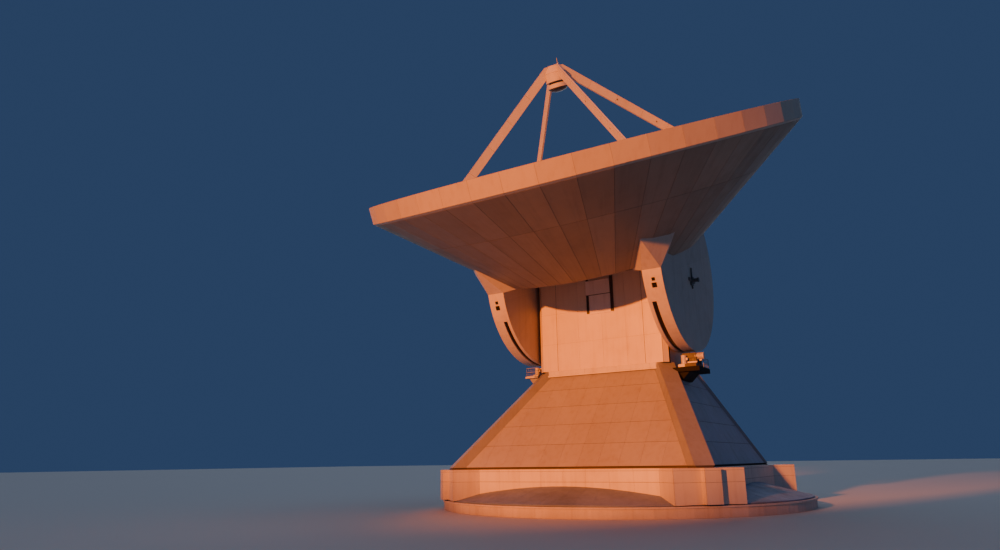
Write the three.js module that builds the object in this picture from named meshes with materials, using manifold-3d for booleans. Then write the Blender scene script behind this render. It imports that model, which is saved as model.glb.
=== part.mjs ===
// Radio telescope with a 50 m dish, as a 1:2 scale model.
// Axes: X to the right, front towards -Y, Z up. Ground level is z = 0 and the azimuth axis is x = y = 0.
// Dimensions are given in metres of the full-size telescope and turned into model millimetres by M.
import * as THREE from "three";
import { mergeVertices } from "three/addons/utils/BufferGeometryUtils.js";
import { ConvexGeometry } from "three/addons/geometries/ConvexGeometry.js";
import Module from "manifold-3d";

const wasm = await Module();
wasm.setup();

const M = 500;
const gap = 0.3;

// Foundation
const foundationRadius = 20.6 * M;
const lipRadius = 20.75 * M;
const lipTop = 1.02 * M;
const lipHeight = 0.15 * M;
const stepRadius = 20.15 * M;
const stepTop = 0.72 * M;
const ringInnerRadius = 18.6 * M;
const floorTop = 0.35 * M;
const railInnerRadius = 19.55 * M;
const railOuterRadius = 19.95 * M;
const railTop = 0.86 * M;
const pierRadius = 1.7 * M;
const pierTop = 1.5 * M;
const pinFlangeRadius = 1.1 * M;
const pinFlange = 0.25 * M;
const pinRadius = 0.6 * M;
const pinTop = 3.2 * M;
const hubRadius = 1.5 * M;
const hubBottom = 2.2 * M;
const hubTop = 3.0 * M;
const beamHalfWidth = 0.45 * M;
const beamEndGap = 10.6;

// Skirt round the track
const skirtFace = 14.9 * M;
const skirtThickness = 0.25 * M;
const skirtTop = 4.25 * M;
const housingReach = 20.4 * M;
const housingHalfWidth = 3.5 * M;
const housingPierHalfWidth = 0.8 * M;
const housingPierDepth = 0.7 * M;
const coverOuterRadius = 20.32 * M;
const coverInnerRadius = 13.6 * M;
const coverSlope = 0.268;
const coverThickness = 0.1 * M;
const coverRimTop = 1.14 * M;
const roofThickness = 0.2 * M;
const roofOpening = 12.3 * M;
const collarHeight = 0.22 * M;
const collarInset = 0.15 * M;

// Pyramid
const pyramidBottom = skirtTop + collarHeight;
const pyramidTop = 14.75 * M;
const wallThickness = 0.35 * M;
const frontWallFoot = 14.0 * M;
const frontWallHead = 4.45 * M;
const backWallFoot = 13.3 * M;
const backWallHead = 4.6 * M;
const sideWallFoot = 13.4 * M;
const sideWallHead = 8.45 * M;
const legWidth = 2.0 * M;
const legDepth = 1.9 * M;
const legTop = 15.45 * M;
const deckHalfWidth = 8.4 * M;
const deckHalfDepth = 4.68 * M;
const deckChamfer = 1.0 * M;
const kerbChamfer = 1.6 * M;
const deckThickness = 0.2 * M;
const kerbHeight = 0.5 * M;

// House and elevation bearings
const axisHeight = 26.47 * M;
const axisY = -2.38 * M;
const houseHalfWidth = 8.05 * M;
const houseHalfDepth = 4.43 * M;
const houseChamfer = 0.5 * M;
const houseWall = 0.4 * M;
const roofRadius = 2.09 * M;
const roofPlate = 0.3 * M;
const shaftRadius = 0.55 * M;
const shaftInner = 7.0 * M;
const bearingRadius = 1.2 * M;
const bearingOuter = 8.38 * M;
const bearingClearance = 0.7;
const shaftSides = 64;

// Drive platforms under the wheels, with the reach of each slab and of its bracket; the left one is smaller
const platformFront = -4.3 * M;
const platformBack = -0.3 * M;
const rightDrive = {
  top: 14.75 * M,
  thickness: 0.5 * M,
  reach: 11.4 * M,
  bracketHead: 10.5 * M,
  bracketToe: 9.4 * M,
  foot: 13.4 * M,
};
const leftDrive = {
  top: 15.1 * M,
  thickness: 0.2 * M,
  reach: 10.1 * M,
  bracketHead: 9.8 * M,
  bracketToe: 9.2 * M,
  foot: 14.2 * M,
};
const frameHeight = 0.35 * M;
const gearboxTop = 16.35 * M;
const motorRadius = 0.36 * M;
const standingRadius = 0.28 * M;
const motorLength = 0.9 * M;
const motorLevel = 15.95 * M;

// Reflector, measured along the dish axis from the elevation axis
const restTilt = THREE.MathUtils.degToRad(25.6);
const dishSides = 48;
const rimRadius = 25.0 * M;
const rimBottom = 13.25 * M;
const rimTop = 15.13 * M;
const rimThickness = 0.26 * M;
const backRadius = 11.55 * M;
const backHeight = 2.17 * M;
const ringSeamRadius = 19.85 * M;
const claddingThickness = 0.26 * M;
const bowlVertex = 6.27 * M;
const bowlFocal = 17.5 * M;
const bowlThickness = 0.3 * M;
const bowlHole = 1.2 * M;
const wheelRadius = 9.82 * M;
const wheelInner = 8.48 * M;
const wheelOuter = 10.53 * M;
const slotInner = 8.85 * M;
const slotOuter = 9.35 * M;
const slotDepth = 0.35 * M;
const slotStart = -171.3;
const slotEnd = -84;
const slotSteps = 24;
const rackThickness = 0.2 * M;
const bladeFootRadius = 18.53 * M;
const bladeHeadRadius = 1.06 * M;
const bladeHeadHeight = 25.37 * M;
const bladeDepth = 1.0 * M;
const bladeThickness = 0.2 * M;
const apexBottom = 23.9 * M;
const apexNeck = 0.95 * M;
const apexNeckTop = 24.12 * M;
const apexRadius = 1.3 * M;
const apexShoulder = 25.2 * M;
const apexCapRadius = 0.75 * M;
const apexTop = 25.95 * M;

const concrete = { color: "#9c8578", roughness: 0.95, metalness: 0 };
const cladding = { color: "#d9c7b6", roughness: 0.55, metalness: 0.15 };
const shaded = { color: "#c4b3a4", roughness: 0.6, metalness: 0.15 };
const steel = { color: "#8f8d8b", roughness: 0.4, metalness: 0.9 };
const darkSteel = { color: "#3a3633", roughness: 0.5, metalness: 0.8 };
const mirror = { color: "#c9c9c6", roughness: 0.3, metalness: 0.9 };

const part = new THREE.Group();
part.name = "radio_telescope";
const reflector = new THREE.Group();
reflector.name = "reflector";
reflector.position.set(0, axisY, axisHeight);
reflector.rotation.x = restTilt;
part.add(reflector);

// One closed geometry with merged points and its faces out.
function closed(geometry) {
  const loose = geometry.index ? geometry.toNonIndexed() : geometry.clone();
  loose.deleteAttribute("normal");
  loose.deleteAttribute("uv");
  const merged = mergeVertices(loose, 0.001);
  const points = merged.attributes.position;
  const kept = [];
  let volume = 0;
  for (let i = 0; i < merged.index.count; i += 3) {
    const [a, b, c] = [0, 1, 2].map((k) => merged.index.getX(i + k));
    if (a === b || b === c || a === c) continue;
    kept.push(a, b, c);
    const [p, q, r] = [a, b, c].map((k) => new THREE.Vector3().fromBufferAttribute(points, k));
    volume += p.dot(q.cross(r));
  }
  if (volume < 0) kept.reverse();
  merged.setIndex(kept);
  return merged;
}

function toSolid(geometry) {
  const source = closed(geometry);
  const vertProperties = new Float32Array(source.attributes.position.array);
  const triVerts = new Uint32Array(source.index.array);
  return new wasm.Manifold(new wasm.Mesh({ numProp: 3, vertProperties, triVerts }));
}

function toGeometry(solid) {
  const mesh = solid.getMesh();
  const geometry = new THREE.BufferGeometry();
  geometry.setAttribute("position", new THREE.BufferAttribute(new Float32Array(mesh.vertProperties), 3));
  geometry.setIndex(new THREE.BufferAttribute(new Uint32Array(mesh.triVerts), 1));
  return geometry;
}

const cut = (geometry, ...tools) =>
  toGeometry(tools.reduce((solid, tool) => solid.subtract(toSolid(tool)), toSolid(geometry)));
const join = (geometry, ...others) =>
  toGeometry(others.reduce((solid, other) => solid.add(toSolid(other)), toSolid(geometry)));
const common = (geometry, other) => toGeometry(toSolid(geometry).intersect(toSolid(other)));

function add(name, geometry, look, group = part) {
  const mesh = new THREE.Mesh(closed(geometry), new THREE.MeshStandardMaterial(look));
  mesh.name = name;
  mesh.geometry.computeVertexNormals();
  group.add(mesh);
}

const box = (x0, x1, y0, y1, z0, z1) =>
  new THREE.BoxGeometry(x1 - x0, y1 - y0, z1 - z0).translate((x0 + x1) / 2, (y0 + y1) / 2, (z0 + z1) / 2);

// Body of revolution about Z from a closed outline of radius and height.
function turned(outline, segments) {
  const profile = outline.map(([r, z]) => new THREE.Vector2(r, z));
  profile.push(profile[0].clone());
  return new THREE.LatheGeometry(profile, segments).rotateX(Math.PI / 2);
}

// Plan outline raised from z0 to z1.
function raised(outline, z0, z1, hole) {
  const shape = new THREE.Shape(outline.map(([x, y]) => new THREE.Vector2(x, y)));
  if (hole) shape.holes.push(new THREE.Path(hole.map(([x, y]) => new THREE.Vector2(x, y))));
  return new THREE.ExtrudeGeometry(shape, { depth: z1 - z0, bevelEnabled: false }).translate(0, 0, z0);
}

// Outline in the Y-Z plane carried from x0 to x1.
function carried(outline, x0, x1) {
  const shape = new THREE.Shape(outline.map(([y, z]) => new THREE.Vector2(y, z)));
  const geometry = new THREE.ExtrudeGeometry(shape, { depth: x1 - x0, bevelEnabled: false });
  return geometry.applyMatrix4(new THREE.Matrix4().set(0, 0, 1, x0, 1, 0, 0, 0, 0, 1, 0, 0, 0, 0, 0, 1));
}

const hull = (points) => new ConvexGeometry(points.map(([x, y, z]) => new THREE.Vector3(x, y, z)));
const rod = (radius, length, segments) => new THREE.CylinderGeometry(radius, radius, length, segments);
const quarterTurn = (geometry, k) => geometry.clone().rotateZ((k * Math.PI) / 2);
const mirrored = (geometry) => geometry.clone().scale(-1, 1, 1);
const rectangle = (x, y0, y1) => [[-x, y0], [x, y0], [x, y1], [-x, y1]];
const chamfered = (x, y, c) =>
  [[-x + c, -y], [x - c, -y], [x, -y + c], [x, y - c], [x - c, y], [-x + c, y], [-x, y - c], [-x, -y + c]];

// Concrete floor slab with the centre pier, the ring wall poured round it, the rail and the pintle pin.
function foundation() {
  const floorRadius = ringInnerRadius - gap;
  add("foundation_floor", turned([
    [0, 0], [floorRadius, 0], [floorRadius, floorTop],
    [pierRadius, floorTop], [pierRadius, pierTop], [0, pierTop],
  ], 72), concrete);
  add("foundation_ring", turned([
    [ringInnerRadius, 0], [foundationRadius, 0], [foundationRadius, lipTop - lipHeight],
    [lipRadius, lipTop - lipHeight], [lipRadius, lipTop], [stepRadius, lipTop], [stepRadius, stepTop],
    [ringInnerRadius, stepTop],
  ], 72), concrete);
  add("azimuth_rail", turned([
    [railInnerRadius, stepTop + gap], [railOuterRadius, stepTop + gap],
    [railOuterRadius, railTop], [railInnerRadius, railTop],
  ], 72), steel);
  add("pintle_pin", turned([
    [0, pierTop + gap], [pinFlangeRadius, pierTop + gap], [pinFlangeRadius, pierTop + pinFlange],
    [pinRadius, pierTop + pinFlange], [pinRadius, pinTop], [0, pinTop],
  ], 72), steel);
}

const coverTopAt = (radius) => coverRimTop + (coverOuterRadius - radius) * coverSlope;
const housingInner = Math.SQRT2 * skirtFace - housingHalfWidth;

// Plan position from the distance out along the front right diagonal and the distance across it.
const onDiagonal = ([out, across]) => [(out + across) / Math.SQRT2, (across - out) / Math.SQRT2];

const housingOutline = (inner, outer, half) =>
  [[inner, -half], [outer, -half], [outer, half], [inner, half]].map(onDiagonal);

const pierOutline = (root) =>
  [
    [root, -housingPierHalfWidth], [housingReach + housingPierDepth, -housingPierHalfWidth],
    [housingReach + housingPierDepth, housingPierHalfWidth], [root, housingPierHalfWidth],
  ].map(onDiagonal);

// Skirt walls and corner housings stand on the low conical cover over the track.
function skirt() {
  add("track_cover", turned([
    [coverInnerRadius, coverTopAt(coverInnerRadius)],
    [coverInnerRadius, coverTopAt(coverInnerRadius) - coverThickness],
    [coverOuterRadius, coverRimTop - coverThickness], [coverOuterRadius, coverRimTop],
  ], 72), shaded);
  const farOut = 26 * M;
  const belowCover = turned([
    [0, 0], [farOut, 0], [farOut, 0.2 * M], [coverOuterRadius, coverRimTop + gap], [0, coverTopAt(0) + gap],
  ], 72);

  const wallTop = skirtTop - roofThickness - gap;
  const lowest = coverRimTop - 0.06 * M;
  const outside = raised(housingOutline(housingInner, housingReach, housingHalfWidth), lowest, wallTop);
  const inside = raised(housingOutline(
    housingInner - M, housingReach - skirtThickness, housingHalfWidth - skirtThickness,
  ), 0, skirtTop);
  const pier = raised(pierOutline(housingReach - skirtThickness / 2), coverRimTop, wallTop);
  const housing = cut(join(outside, pier), inside, belowCover);
  const corners = ["front_right", "back_right", "back_left", "front_left"];
  corners.forEach((corner, k) => add("bogie_housing_" + corner, quarterTurn(housing, k), cladding));

  const wallEnd = (housingInner - housingHalfWidth) / Math.SQRT2 - 2 * gap;
  const slab = box(-wallEnd, wallEnd, -skirtFace, -skirtFace + skirtThickness, lowest, wallTop);
  const wall = cut(slab, belowCover);
  const sides = ["front", "right", "back", "left"];
  sides.forEach((side, k) => add("skirt_wall_" + side, quarterTurn(wall, k), cladding));
}

// Foot of a leg at the middle of its outer face, front right and back right, and where it is at pyramid top.
const frontLegFoot = [14.08 * M, -14.32 * M];
const frontLegHead = [8.03 * M, -4.56 * M];
const backLegFoot = [13.0 * M, 13.65 * M];
const backLegHead = [8.15 * M, 4.9 * M];

// Corner leg, a rectangle turned by 45 degrees that leans in with the pyramid; grown all round for cutting.
function leg(foot, head, front, grow, z0, z1) {
  const outward = front ? [Math.SQRT1_2, -Math.SQRT1_2] : [Math.SQRT1_2, Math.SQRT1_2];
  const across = [-outward[1], outward[0]];
  const points = [];
  for (const z of [z0, z1]) {
    const s = (z - pyramidBottom) / (pyramidTop - pyramidBottom);
    const cx = foot[0] + (head[0] - foot[0]) * s;
    const cy = foot[1] + (head[1] - foot[1]) * s;
    for (const [out, side] of [[grow, -1], [grow, 1], [-legDepth - grow, 1], [-legDepth - grow, -1]]) {
      const half = side * (legWidth / 2 + grow);
      points.push([cx + outward[0] * out + across[0] * half, cy + outward[1] * out + across[1] * half, z]);
    }
  }
  return hull(points);
}

const frontLeg = (grow, z0, z1) => leg(frontLegFoot, frontLegHead, true, grow, z0, z1);
const backLeg = (grow, z0, z1) => leg(backLegFoot, backLegHead, false, grow, z0, z1);

// Coping over the skirt with the recessed collar that carries the pyramid.
function skirtRoof() {
  const corner = housingOutline(housingInner, housingReach, housingHalfWidth);
  corner.splice(2, 0, ...pierOutline(housingReach));
  const outline = [0, 1, 2, 3].flatMap((k) => corner.map(([x, y]) => {
    const [c, s] = [Math.cos((k * Math.PI) / 2), Math.sin((k * Math.PI) / 2)];
    return [c * x - s * y, s * x + c * y];
  }));
  const opening = rectangle(roofOpening, -roofOpening, roofOpening);
  const plate = raised(outline, skirtTop - roofThickness, skirtTop, opening);
  const collar = raised(
    rectangle(sideWallFoot - collarInset, -frontWallFoot + collarInset, backWallFoot - collarInset),
    skirtTop - roofThickness / 2, pyramidBottom - gap, opening,
  );
  const pads = [frontLeg(-0.1 * M, skirtTop - roofThickness / 2, pyramidBottom - gap),
    backLeg(-0.1 * M, skirtTop - roofThickness / 2, pyramidBottom - gap)];
  const bothSides = pads.flatMap((pad) => [pad, mirrored(pad)]);
  add("skirt_roof", join(plate, collar, ...bothSides), shaded);
}

// A sloping pyramid wall between two heights, outer face given at its foot and head.
function slopingWall(foot, head, ends, direction) {
  const points = [];
  for (const [at, [e0, e1], z] of [[foot, ends[0], pyramidBottom], [head, ends[1], pyramidTop]]) {
    for (const inward of [0, wallThickness]) {
      for (const e of [e0, e1]) points.push([e, at - inward, z]);
    }
  }
  const turn = {
    back: ([x, y, z]) => [x, y, z],
    front: ([x, y, z]) => [x, -y, z],
    right: ([x, y, z]) => [y, x, z],
  };
  return hull(points.map(turn[direction]));
}

function pyramid() {
  const legs = [frontLeg(0, pyramidBottom, legTop), backLeg(0, pyramidBottom, legTop)];
  const clearance = [2 * gap, pyramidBottom - M, legTop + M];
  const tools = [frontLeg(...clearance), backLeg(...clearance)].flatMap((tool) => [tool, mirrored(tool)]);
  add("corner_leg_front_right", legs[0], cladding);
  add("corner_leg_front_left", mirrored(legs[0]), cladding);
  add("corner_leg_back_right", legs[1], cladding);
  add("corner_leg_back_left", mirrored(legs[1]), cladding);

  const frontEnds = [[-12.9 * M, 12.9 * M], [-7.3 * M, 7.3 * M]];
  const backEnds = [[-12.5 * M, 12.5 * M], [-7.7 * M, 7.7 * M]];
  const sideEnds = [[-13.4 * M, 13.0 * M], [-4.0 * M, 4.2 * M]];
  const front = cut(slopingWall(frontWallFoot, frontWallHead, frontEnds, "front"), ...tools);
  const back = cut(slopingWall(backWallFoot, backWallHead, backEnds, "back"), ...tools);
  const right = cut(slopingWall(sideWallFoot, sideWallHead, sideEnds, "right"), ...tools);
  add("pyramid_wall_front", front, cladding);
  add("pyramid_wall_back", back, cladding);
  add("pyramid_wall_right", right, cladding);
  add("pyramid_wall_left", mirrored(right), cladding);

  const deckTop = pyramidTop + deckThickness;
  const opening = rectangle(5.4 * M, -2.0 * M, 2.0 * M);
  const step = 0.1 * M;
  const deckOutline = chamfered(deckHalfWidth, deckHalfDepth, deckChamfer);
  const deck = raised(deckOutline, pyramidTop + gap, deckTop, opening);
  const kerbOutline = chamfered(deckHalfWidth - step, deckHalfDepth - step, kerbChamfer);
  const kerb = raised(kerbOutline, deckTop - step, deckTop + kerbHeight, opening);
  add("pyramid_deck", cut(join(deck, kerb), ...tools), cladding);
}

const houseOutline = (inset) => chamfered(houseHalfWidth - inset, houseHalfDepth - inset, houseChamfer);

// Roof outline in the Y-Z plane: rounded about the elevation axis in front, so that the dish back clears it.
function roofOutline(radius, bottom) {
  const points = [[houseHalfDepth, bottom], [houseHalfDepth, axisHeight + radius]];
  for (const degrees of [90, 112, 130, 148]) {
    const a = THREE.MathUtils.degToRad(degrees);
    points.push([axisY + radius * Math.cos(a), axisHeight + radius * Math.sin(a)]);
  }
  const front = -houseHalfDepth;
  const rise = Math.sqrt(radius ** 2 - Math.min(radius, axisY - front) ** 2);
  points.push([front, axisHeight + rise], [front, bottom]);
  return points;
}

function house() {
  const bottom = pyramidTop + deckThickness + kerbHeight + gap;
  const tube = raised(houseOutline(0), bottom, axisHeight + 3 * M, houseOutline(houseWall));
  const underRoof = carried(roofOutline(roofRadius - roofPlate - gap, bottom - M), -9 * M, 9 * M);
  const bore = rod(0.75 * M, 20 * M, 48).rotateZ(Math.PI / 2).translate(0, axisY, axisHeight);
  const shell = cut(common(tube, underRoof), bore);
  const split = houseHalfDepth - houseChamfer - houseWall;
  const high = axisHeight + 4 * M;
  add("house_wall_front", common(shell, box(-9 * M, 9 * M, -6 * M, -split - gap, 0, high)), cladding);
  add("house_wall_back", common(shell, box(-9 * M, 9 * M, split + gap, 6 * M, 0, high)), cladding);
  add("house_wall_right", common(shell, box(0, 9 * M, -split, split, 0, high)), cladding);
  add("house_wall_left", common(shell, box(-9 * M, 0, -split, split, 0, high)), cladding);
  const roofBody = carried(roofOutline(roofRadius, axisHeight - 0.5 * M), -houseHalfWidth, houseHalfWidth);
  const roofHollow = carried(roofOutline(roofRadius - roofPlate, axisHeight - 2 * M), -9 * M, 9 * M);
  add("house_roof", cut(roofBody, roofHollow), cladding);

  const ring = cut(
    rod(bearingRadius, bearingOuter - houseHalfWidth - gap, shaftSides),
    rod(shaftRadius + bearingClearance, 2 * M, shaftSides),
  );
  const middle = (bearingOuter + houseHalfWidth + gap) / 2;
  const right = ring.clone().rotateZ(Math.PI / 2).translate(middle, axisY, axisHeight);
  add("elevation_bearing_right", right, darkSteel);
  add("elevation_bearing_left", mirrored(right), darkSteel);
}

// Drive platform with its bracket on the pyramid side, drawn for the right side.
function platform({ top, thickness, reach, bracketHead, bracketToe, foot }) {
  const sideSlope = (sideWallFoot - sideWallHead) / (pyramidTop - pyramidBottom);
  const sideAt = (z) => sideWallHead + (pyramidTop - z) * sideSlope + gap;
  const low = 5 * M;
  const clearOfWall = hull([[0, low], [sideAt(low), low], [sideAt(pyramidTop), pyramidTop], [0, pyramidTop]]
    .flatMap(([x, z]) => [[x, -8 * M, z], [x, 8 * M, z]]));
  const clearOfDeck = box(0, sideAt(pyramidTop), -8 * M, 8 * M, pyramidTop - gap, 16 * M);
  const slab = box(8 * M, reach, platformFront, platformBack, top - thickness, top);
  const root = 8.4 * M;
  const high = top - thickness / 2;
  const bracket = hull([[root, high], [bracketHead, high], [bracketToe, foot], [root, foot]]
    .flatMap(([x, z]) => [[x, platformFront + 0.3 * M, z], [x, platformBack - 0.3 * M, z]]));
  return cut(join(slab, bracket), clearOfWall, clearOfDeck, frontLeg(2 * gap, 10 * M, 17 * M));
}

// Gearbox on its frame: a lying and a standing motor on the right, one standing motor on the left.
function drives() {
  add("drive_platform_right", platform(rightDrive), darkSteel);
  add("drive_platform_left", mirrored(platform(leftDrive)), darkSteel);
  const standing = (x, y, z0, z1) =>
    rod(standingRadius, z1 - z0, 24).rotateX(Math.PI / 2).translate(x, y, (z0 + z1) / 2);
  const rightBase = rightDrive.top + gap;
  const rightFrame = rightBase + frameHeight;
  add("drive_gearbox_right", join(
    box(9.0 * M, 11.0 * M, -4.0 * M, -1.2 * M, rightBase, rightFrame),
    box(9.3 * M, 10.9 * M, -3.4 * M, -1.5 * M, rightFrame - 0.05 * M, gearboxTop),
    rod(motorRadius, motorLength, 32).rotateZ(Math.PI / 2).translate(11.2 * M, -3.0 * M, motorLevel),
    standing(9.6 * M, -3.7 * M, rightFrame - 0.05 * M, 16.05 * M),
  ), shaded);
  const leftBase = leftDrive.top + gap;
  add("drive_gearbox_left", join(
    box(-9.65 * M, -8.95 * M, -3.2 * M, -0.6 * M, leftBase, leftBase + frameHeight),
    box(-9.65 * M, -8.95 * M, -2.1 * M, -0.7 * M, leftBase + 0.3 * M, gearboxTop),
    standing(-9.27 * M, -2.8 * M, leftBase + 0.3 * M, 16.3 * M),
  ), shaded);
}

const coneAt = (radius) =>
  backHeight + ((radius - backRadius) * (rimBottom - backHeight)) / (rimRadius - backRadius);
const bowlAt = (radius) => bowlVertex + radius ** 2 / (4 * bowlFocal);
const bowlEdge = rimRadius - rimThickness - gap;
const bowlSteps = [bowlHole, 5 * M, 9 * M, 13 * M, 17 * M, 21 * M, bowlEdge];

function dish() {
  const inner = rimRadius - rimThickness;
  add("rim_band", turned([
    [inner, coneAt(inner)], [rimRadius, rimBottom], [rimRadius, rimTop], [inner, rimTop],
  ], dishSides), cladding, reflector);
  const top = bowlSteps.map((r) => [r, bowlAt(r)]);
  const under = bowlSteps.filter((r, i) => i % 2 === 0).map((r) => [r, bowlAt(r) - bowlThickness]).reverse();
  add("dish_surface", turned([...top, ...under], dishSides), mirror, reflector);
  add("back_cladding_outer", turned([
    [ringSeamRadius, coneAt(ringSeamRadius)], [bowlEdge, coneAt(bowlEdge)],
    [bowlEdge, coneAt(bowlEdge) + claddingThickness],
    [ringSeamRadius, coneAt(ringSeamRadius) + claddingThickness],
  ], dishSides), cladding, reflector);
  const plateRadius = backRadius - 0.35 * M;
  const seam = ringSeamRadius - gap;
  add("back_cladding_inner", turned([
    [plateRadius + gap, backHeight], [backRadius, backHeight], [seam, coneAt(seam)],
    [seam, coneAt(seam) + claddingThickness], [plateRadius + gap, backHeight + claddingThickness],
  ], dishSides), cladding, reflector);
  add("dish_hub_plate", turned([
    [0, backHeight], [plateRadius, backHeight],
    [plateRadius, backHeight + claddingThickness], [0, backHeight + claddingThickness],
  ], dishSides), shaded, reflector);
  const port = bowlHole - gap;
  add("vertex_port", turned([
    [0, bowlVertex - M], [port, bowlVertex - M], [port, bowlVertex + 0.35 * M], [0, bowlVertex + 0.35 * M],
  ], dishSides), shaded, reflector);
}

// Space taken by the dish back and all above it, a little grown, for trimming what hangs below.
function dishBody() {
  const wide = rimRadius + 3 * M;
  return turned([
    [0, backHeight - gap], [backRadius, backHeight - gap], [wide, coneAt(wide) - gap],
    [wide, 30 * M], [0, 30 * M],
  ], dishSides);
}

// Elevation wheel with its shoulder fairings and stub shaft, right side.
function wheels() {
  const width = wheelOuter - wheelInner;
  const middle = (wheelOuter + wheelInner) / 2;
  const disc = rod(wheelRadius, width, 96).rotateZ(Math.PI / 2).translate(middle, 0, 0);
  const tangent = [9.62 * M, 1.95 * M];
  const shoulder = hull([
    [wheelInner, -tangent[0], tangent[1]], [wheelOuter, -tangent[0], tangent[1]],
    [9.91 * M, -12.1 * M, 5.54 * M], [12.43 * M, -8.63 * M, 5.12 * M], [7.1 * M, -8.45 * M, 1.93 * M],
    [wheelInner, -8.2 * M, 1.9 * M], [wheelOuter, -7.6 * M, 2.4 * M],
    [8.3 * M, -8.6 * M, 7 * M], [11.3 * M, -8.0 * M, 7 * M],
  ]);
  const backShoulder = shoulder.clone().scale(1, -1, 1);
  const stub = rod(shaftRadius, wheelInner - shaftInner + 0.2 * M, shaftSides).rotateZ(Math.PI / 2)
    .translate((wheelInner + shaftInner + 0.2 * M) / 2, 0, 0);
  const slot = slotSector(slotInner, slotOuter, wheelRadius - slotDepth, wheelRadius + 0.5 * M);
  const wheel = cut(join(disc, shoulder, backShoulder, stub), dishBody(), slot);
  add("elevation_wheel_right", wheel, cladding, reflector);
  add("elevation_wheel_left", mirrored(wheel), cladding, reflector);
  const rack = slotSector(
    slotInner + gap, slotOuter - gap, wheelRadius - slotDepth + gap, wheelRadius - slotDepth + rackThickness,
  );
  add("gear_rack_right", rack, darkSteel, reflector);
  add("gear_rack_left", mirrored(rack), darkSteel, reflector);
}

// Arc of the toothed rack round the lower part of a wheel, between two radii and two widths.
function slotSector(x0, x1, r0, r1) {
  const inset = r0 > wheelRadius - slotDepth ? 0.05 : 0;
  const first = slotStart + inset;
  const span = slotEnd - slotStart - 2 * inset;
  const arc = (r) => Array.from({ length: slotSteps + 1 }, (_, i) => {
    const a = THREE.MathUtils.degToRad(first + (span * i) / slotSteps);
    return [r * Math.cos(a), r * Math.sin(a)];
  });
  return carried([...arc(r1), ...arc(r0).reverse()], x0, x1);
}

// Four flat blades from the bowl to the apex, with the apex housing and the subreflector.
function tetrapod() {
  const surface = bowlSteps.map((r) => [r, bowlAt(r) + gap]);
  const bowlBody = turned([[0, bowlVertex], ...surface, [bowlEdge, 0], [0, 0]], dishSides);
  const head = turned([
    [0, 22 * M], [apexRadius + gap, 22 * M], [apexRadius + gap, apexShoulder], [apexCapRadius + gap, apexTop],
    [apexRadius + M, apexTop], [apexRadius + M, 28 * M], [0, 28 * M],
  ], 48);
  const foot = new THREE.Vector2(bladeFootRadius, bowlAt(bladeFootRadius));
  const top = new THREE.Vector2(bladeHeadRadius, bladeHeadHeight);
  const run = top.clone().sub(foot).normalize();
  const side = new THREE.Vector2(-run.y, run.x).multiplyScalar(bladeDepth / 2);
  const low = foot.clone().addScaledVector(run, -1.2 * M);
  const high = top.clone().addScaledVector(run, 0.9 * M);
  const ends = [low.clone().add(side), low.clone().sub(side), high.clone().sub(side), high.clone().add(side)];
  const h = bladeThickness / 2;
  const blade = cut(hull(ends.flatMap((p) => [[p.x, -h, p.y], [p.x, h, p.y]])), bowlBody, head);
  const names = ["back_right", "back_left", "front_left", "front_right"];
  names.forEach((name, k) =>
    add("tetrapod_leg_" + name, blade.clone().rotateZ(Math.PI / 4 + (k * Math.PI) / 2), cladding, reflector));
  add("apex_housing", turned([
    [0, apexBottom + gap], [apexNeck, apexBottom + gap], [apexNeck, apexNeckTop], [apexRadius, apexNeckTop],
    [apexRadius, apexShoulder], [apexCapRadius, apexTop], [0, apexTop],
  ], 48), cladding, reflector);
  add("subreflector_ring", turned([
    [0, 23.4 * M], [1.17 * M, 23.4 * M], [1.17 * M, 23.8 * M], [1.05 * M, apexBottom], [0, apexBottom],
  ], 48), cladding, reflector);
  add("subreflector", turned([
    [0, 23.4 * M - gap], [1.15 * M, 23.4 * M - gap], [1.15 * M, 23.33 * M],
    [0.85 * M, 23.12 * M], [0.45 * M, 23.0 * M], [0, 22.96 * M],
  ], 48), darkSteel, reflector);
  add("apex_rod", turned([
    [0, apexTop + gap], [0.06 * M, apexTop + gap], [0.06 * M, 26.8 * M], [0, 26.8 * M],
  ], 12).translate(0.45 * M, 0.35 * M, 0), steel, reflector);
}

// Cross of beams inside the skirt that ties the pintle bearing to the track cover and its housings.
function pintleCross() {
  const beam = box(0, coverInnerRadius - beamEndGap, -beamHalfWidth, beamHalfWidth, hubBottom, hubTop);
  const beams = [0, 1, 2, 3].map((k) => beam.clone().rotateZ(Math.PI / 4 + (k * Math.PI) / 2));
  const hub = turned([[0, hubBottom], [hubRadius, hubBottom], [hubRadius, hubTop], [0, hubTop]], 72);
  const bore = turned([
    [0, 0], [pinRadius + bearingClearance, 0], [pinRadius + bearingClearance, 4 * M], [0, 4 * M],
  ], 72);
  add("pintle_cross", cut(join(hub, ...beams), bore), darkSteel);
}

foundation();
skirt();
skirtRoof();
pintleCross();
pyramid();
house();
drives();
dish();
wheels();
tetrapod();

export default part;
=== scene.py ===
import math
import random
import bpy
from mathutils import Matrix, Vector


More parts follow.
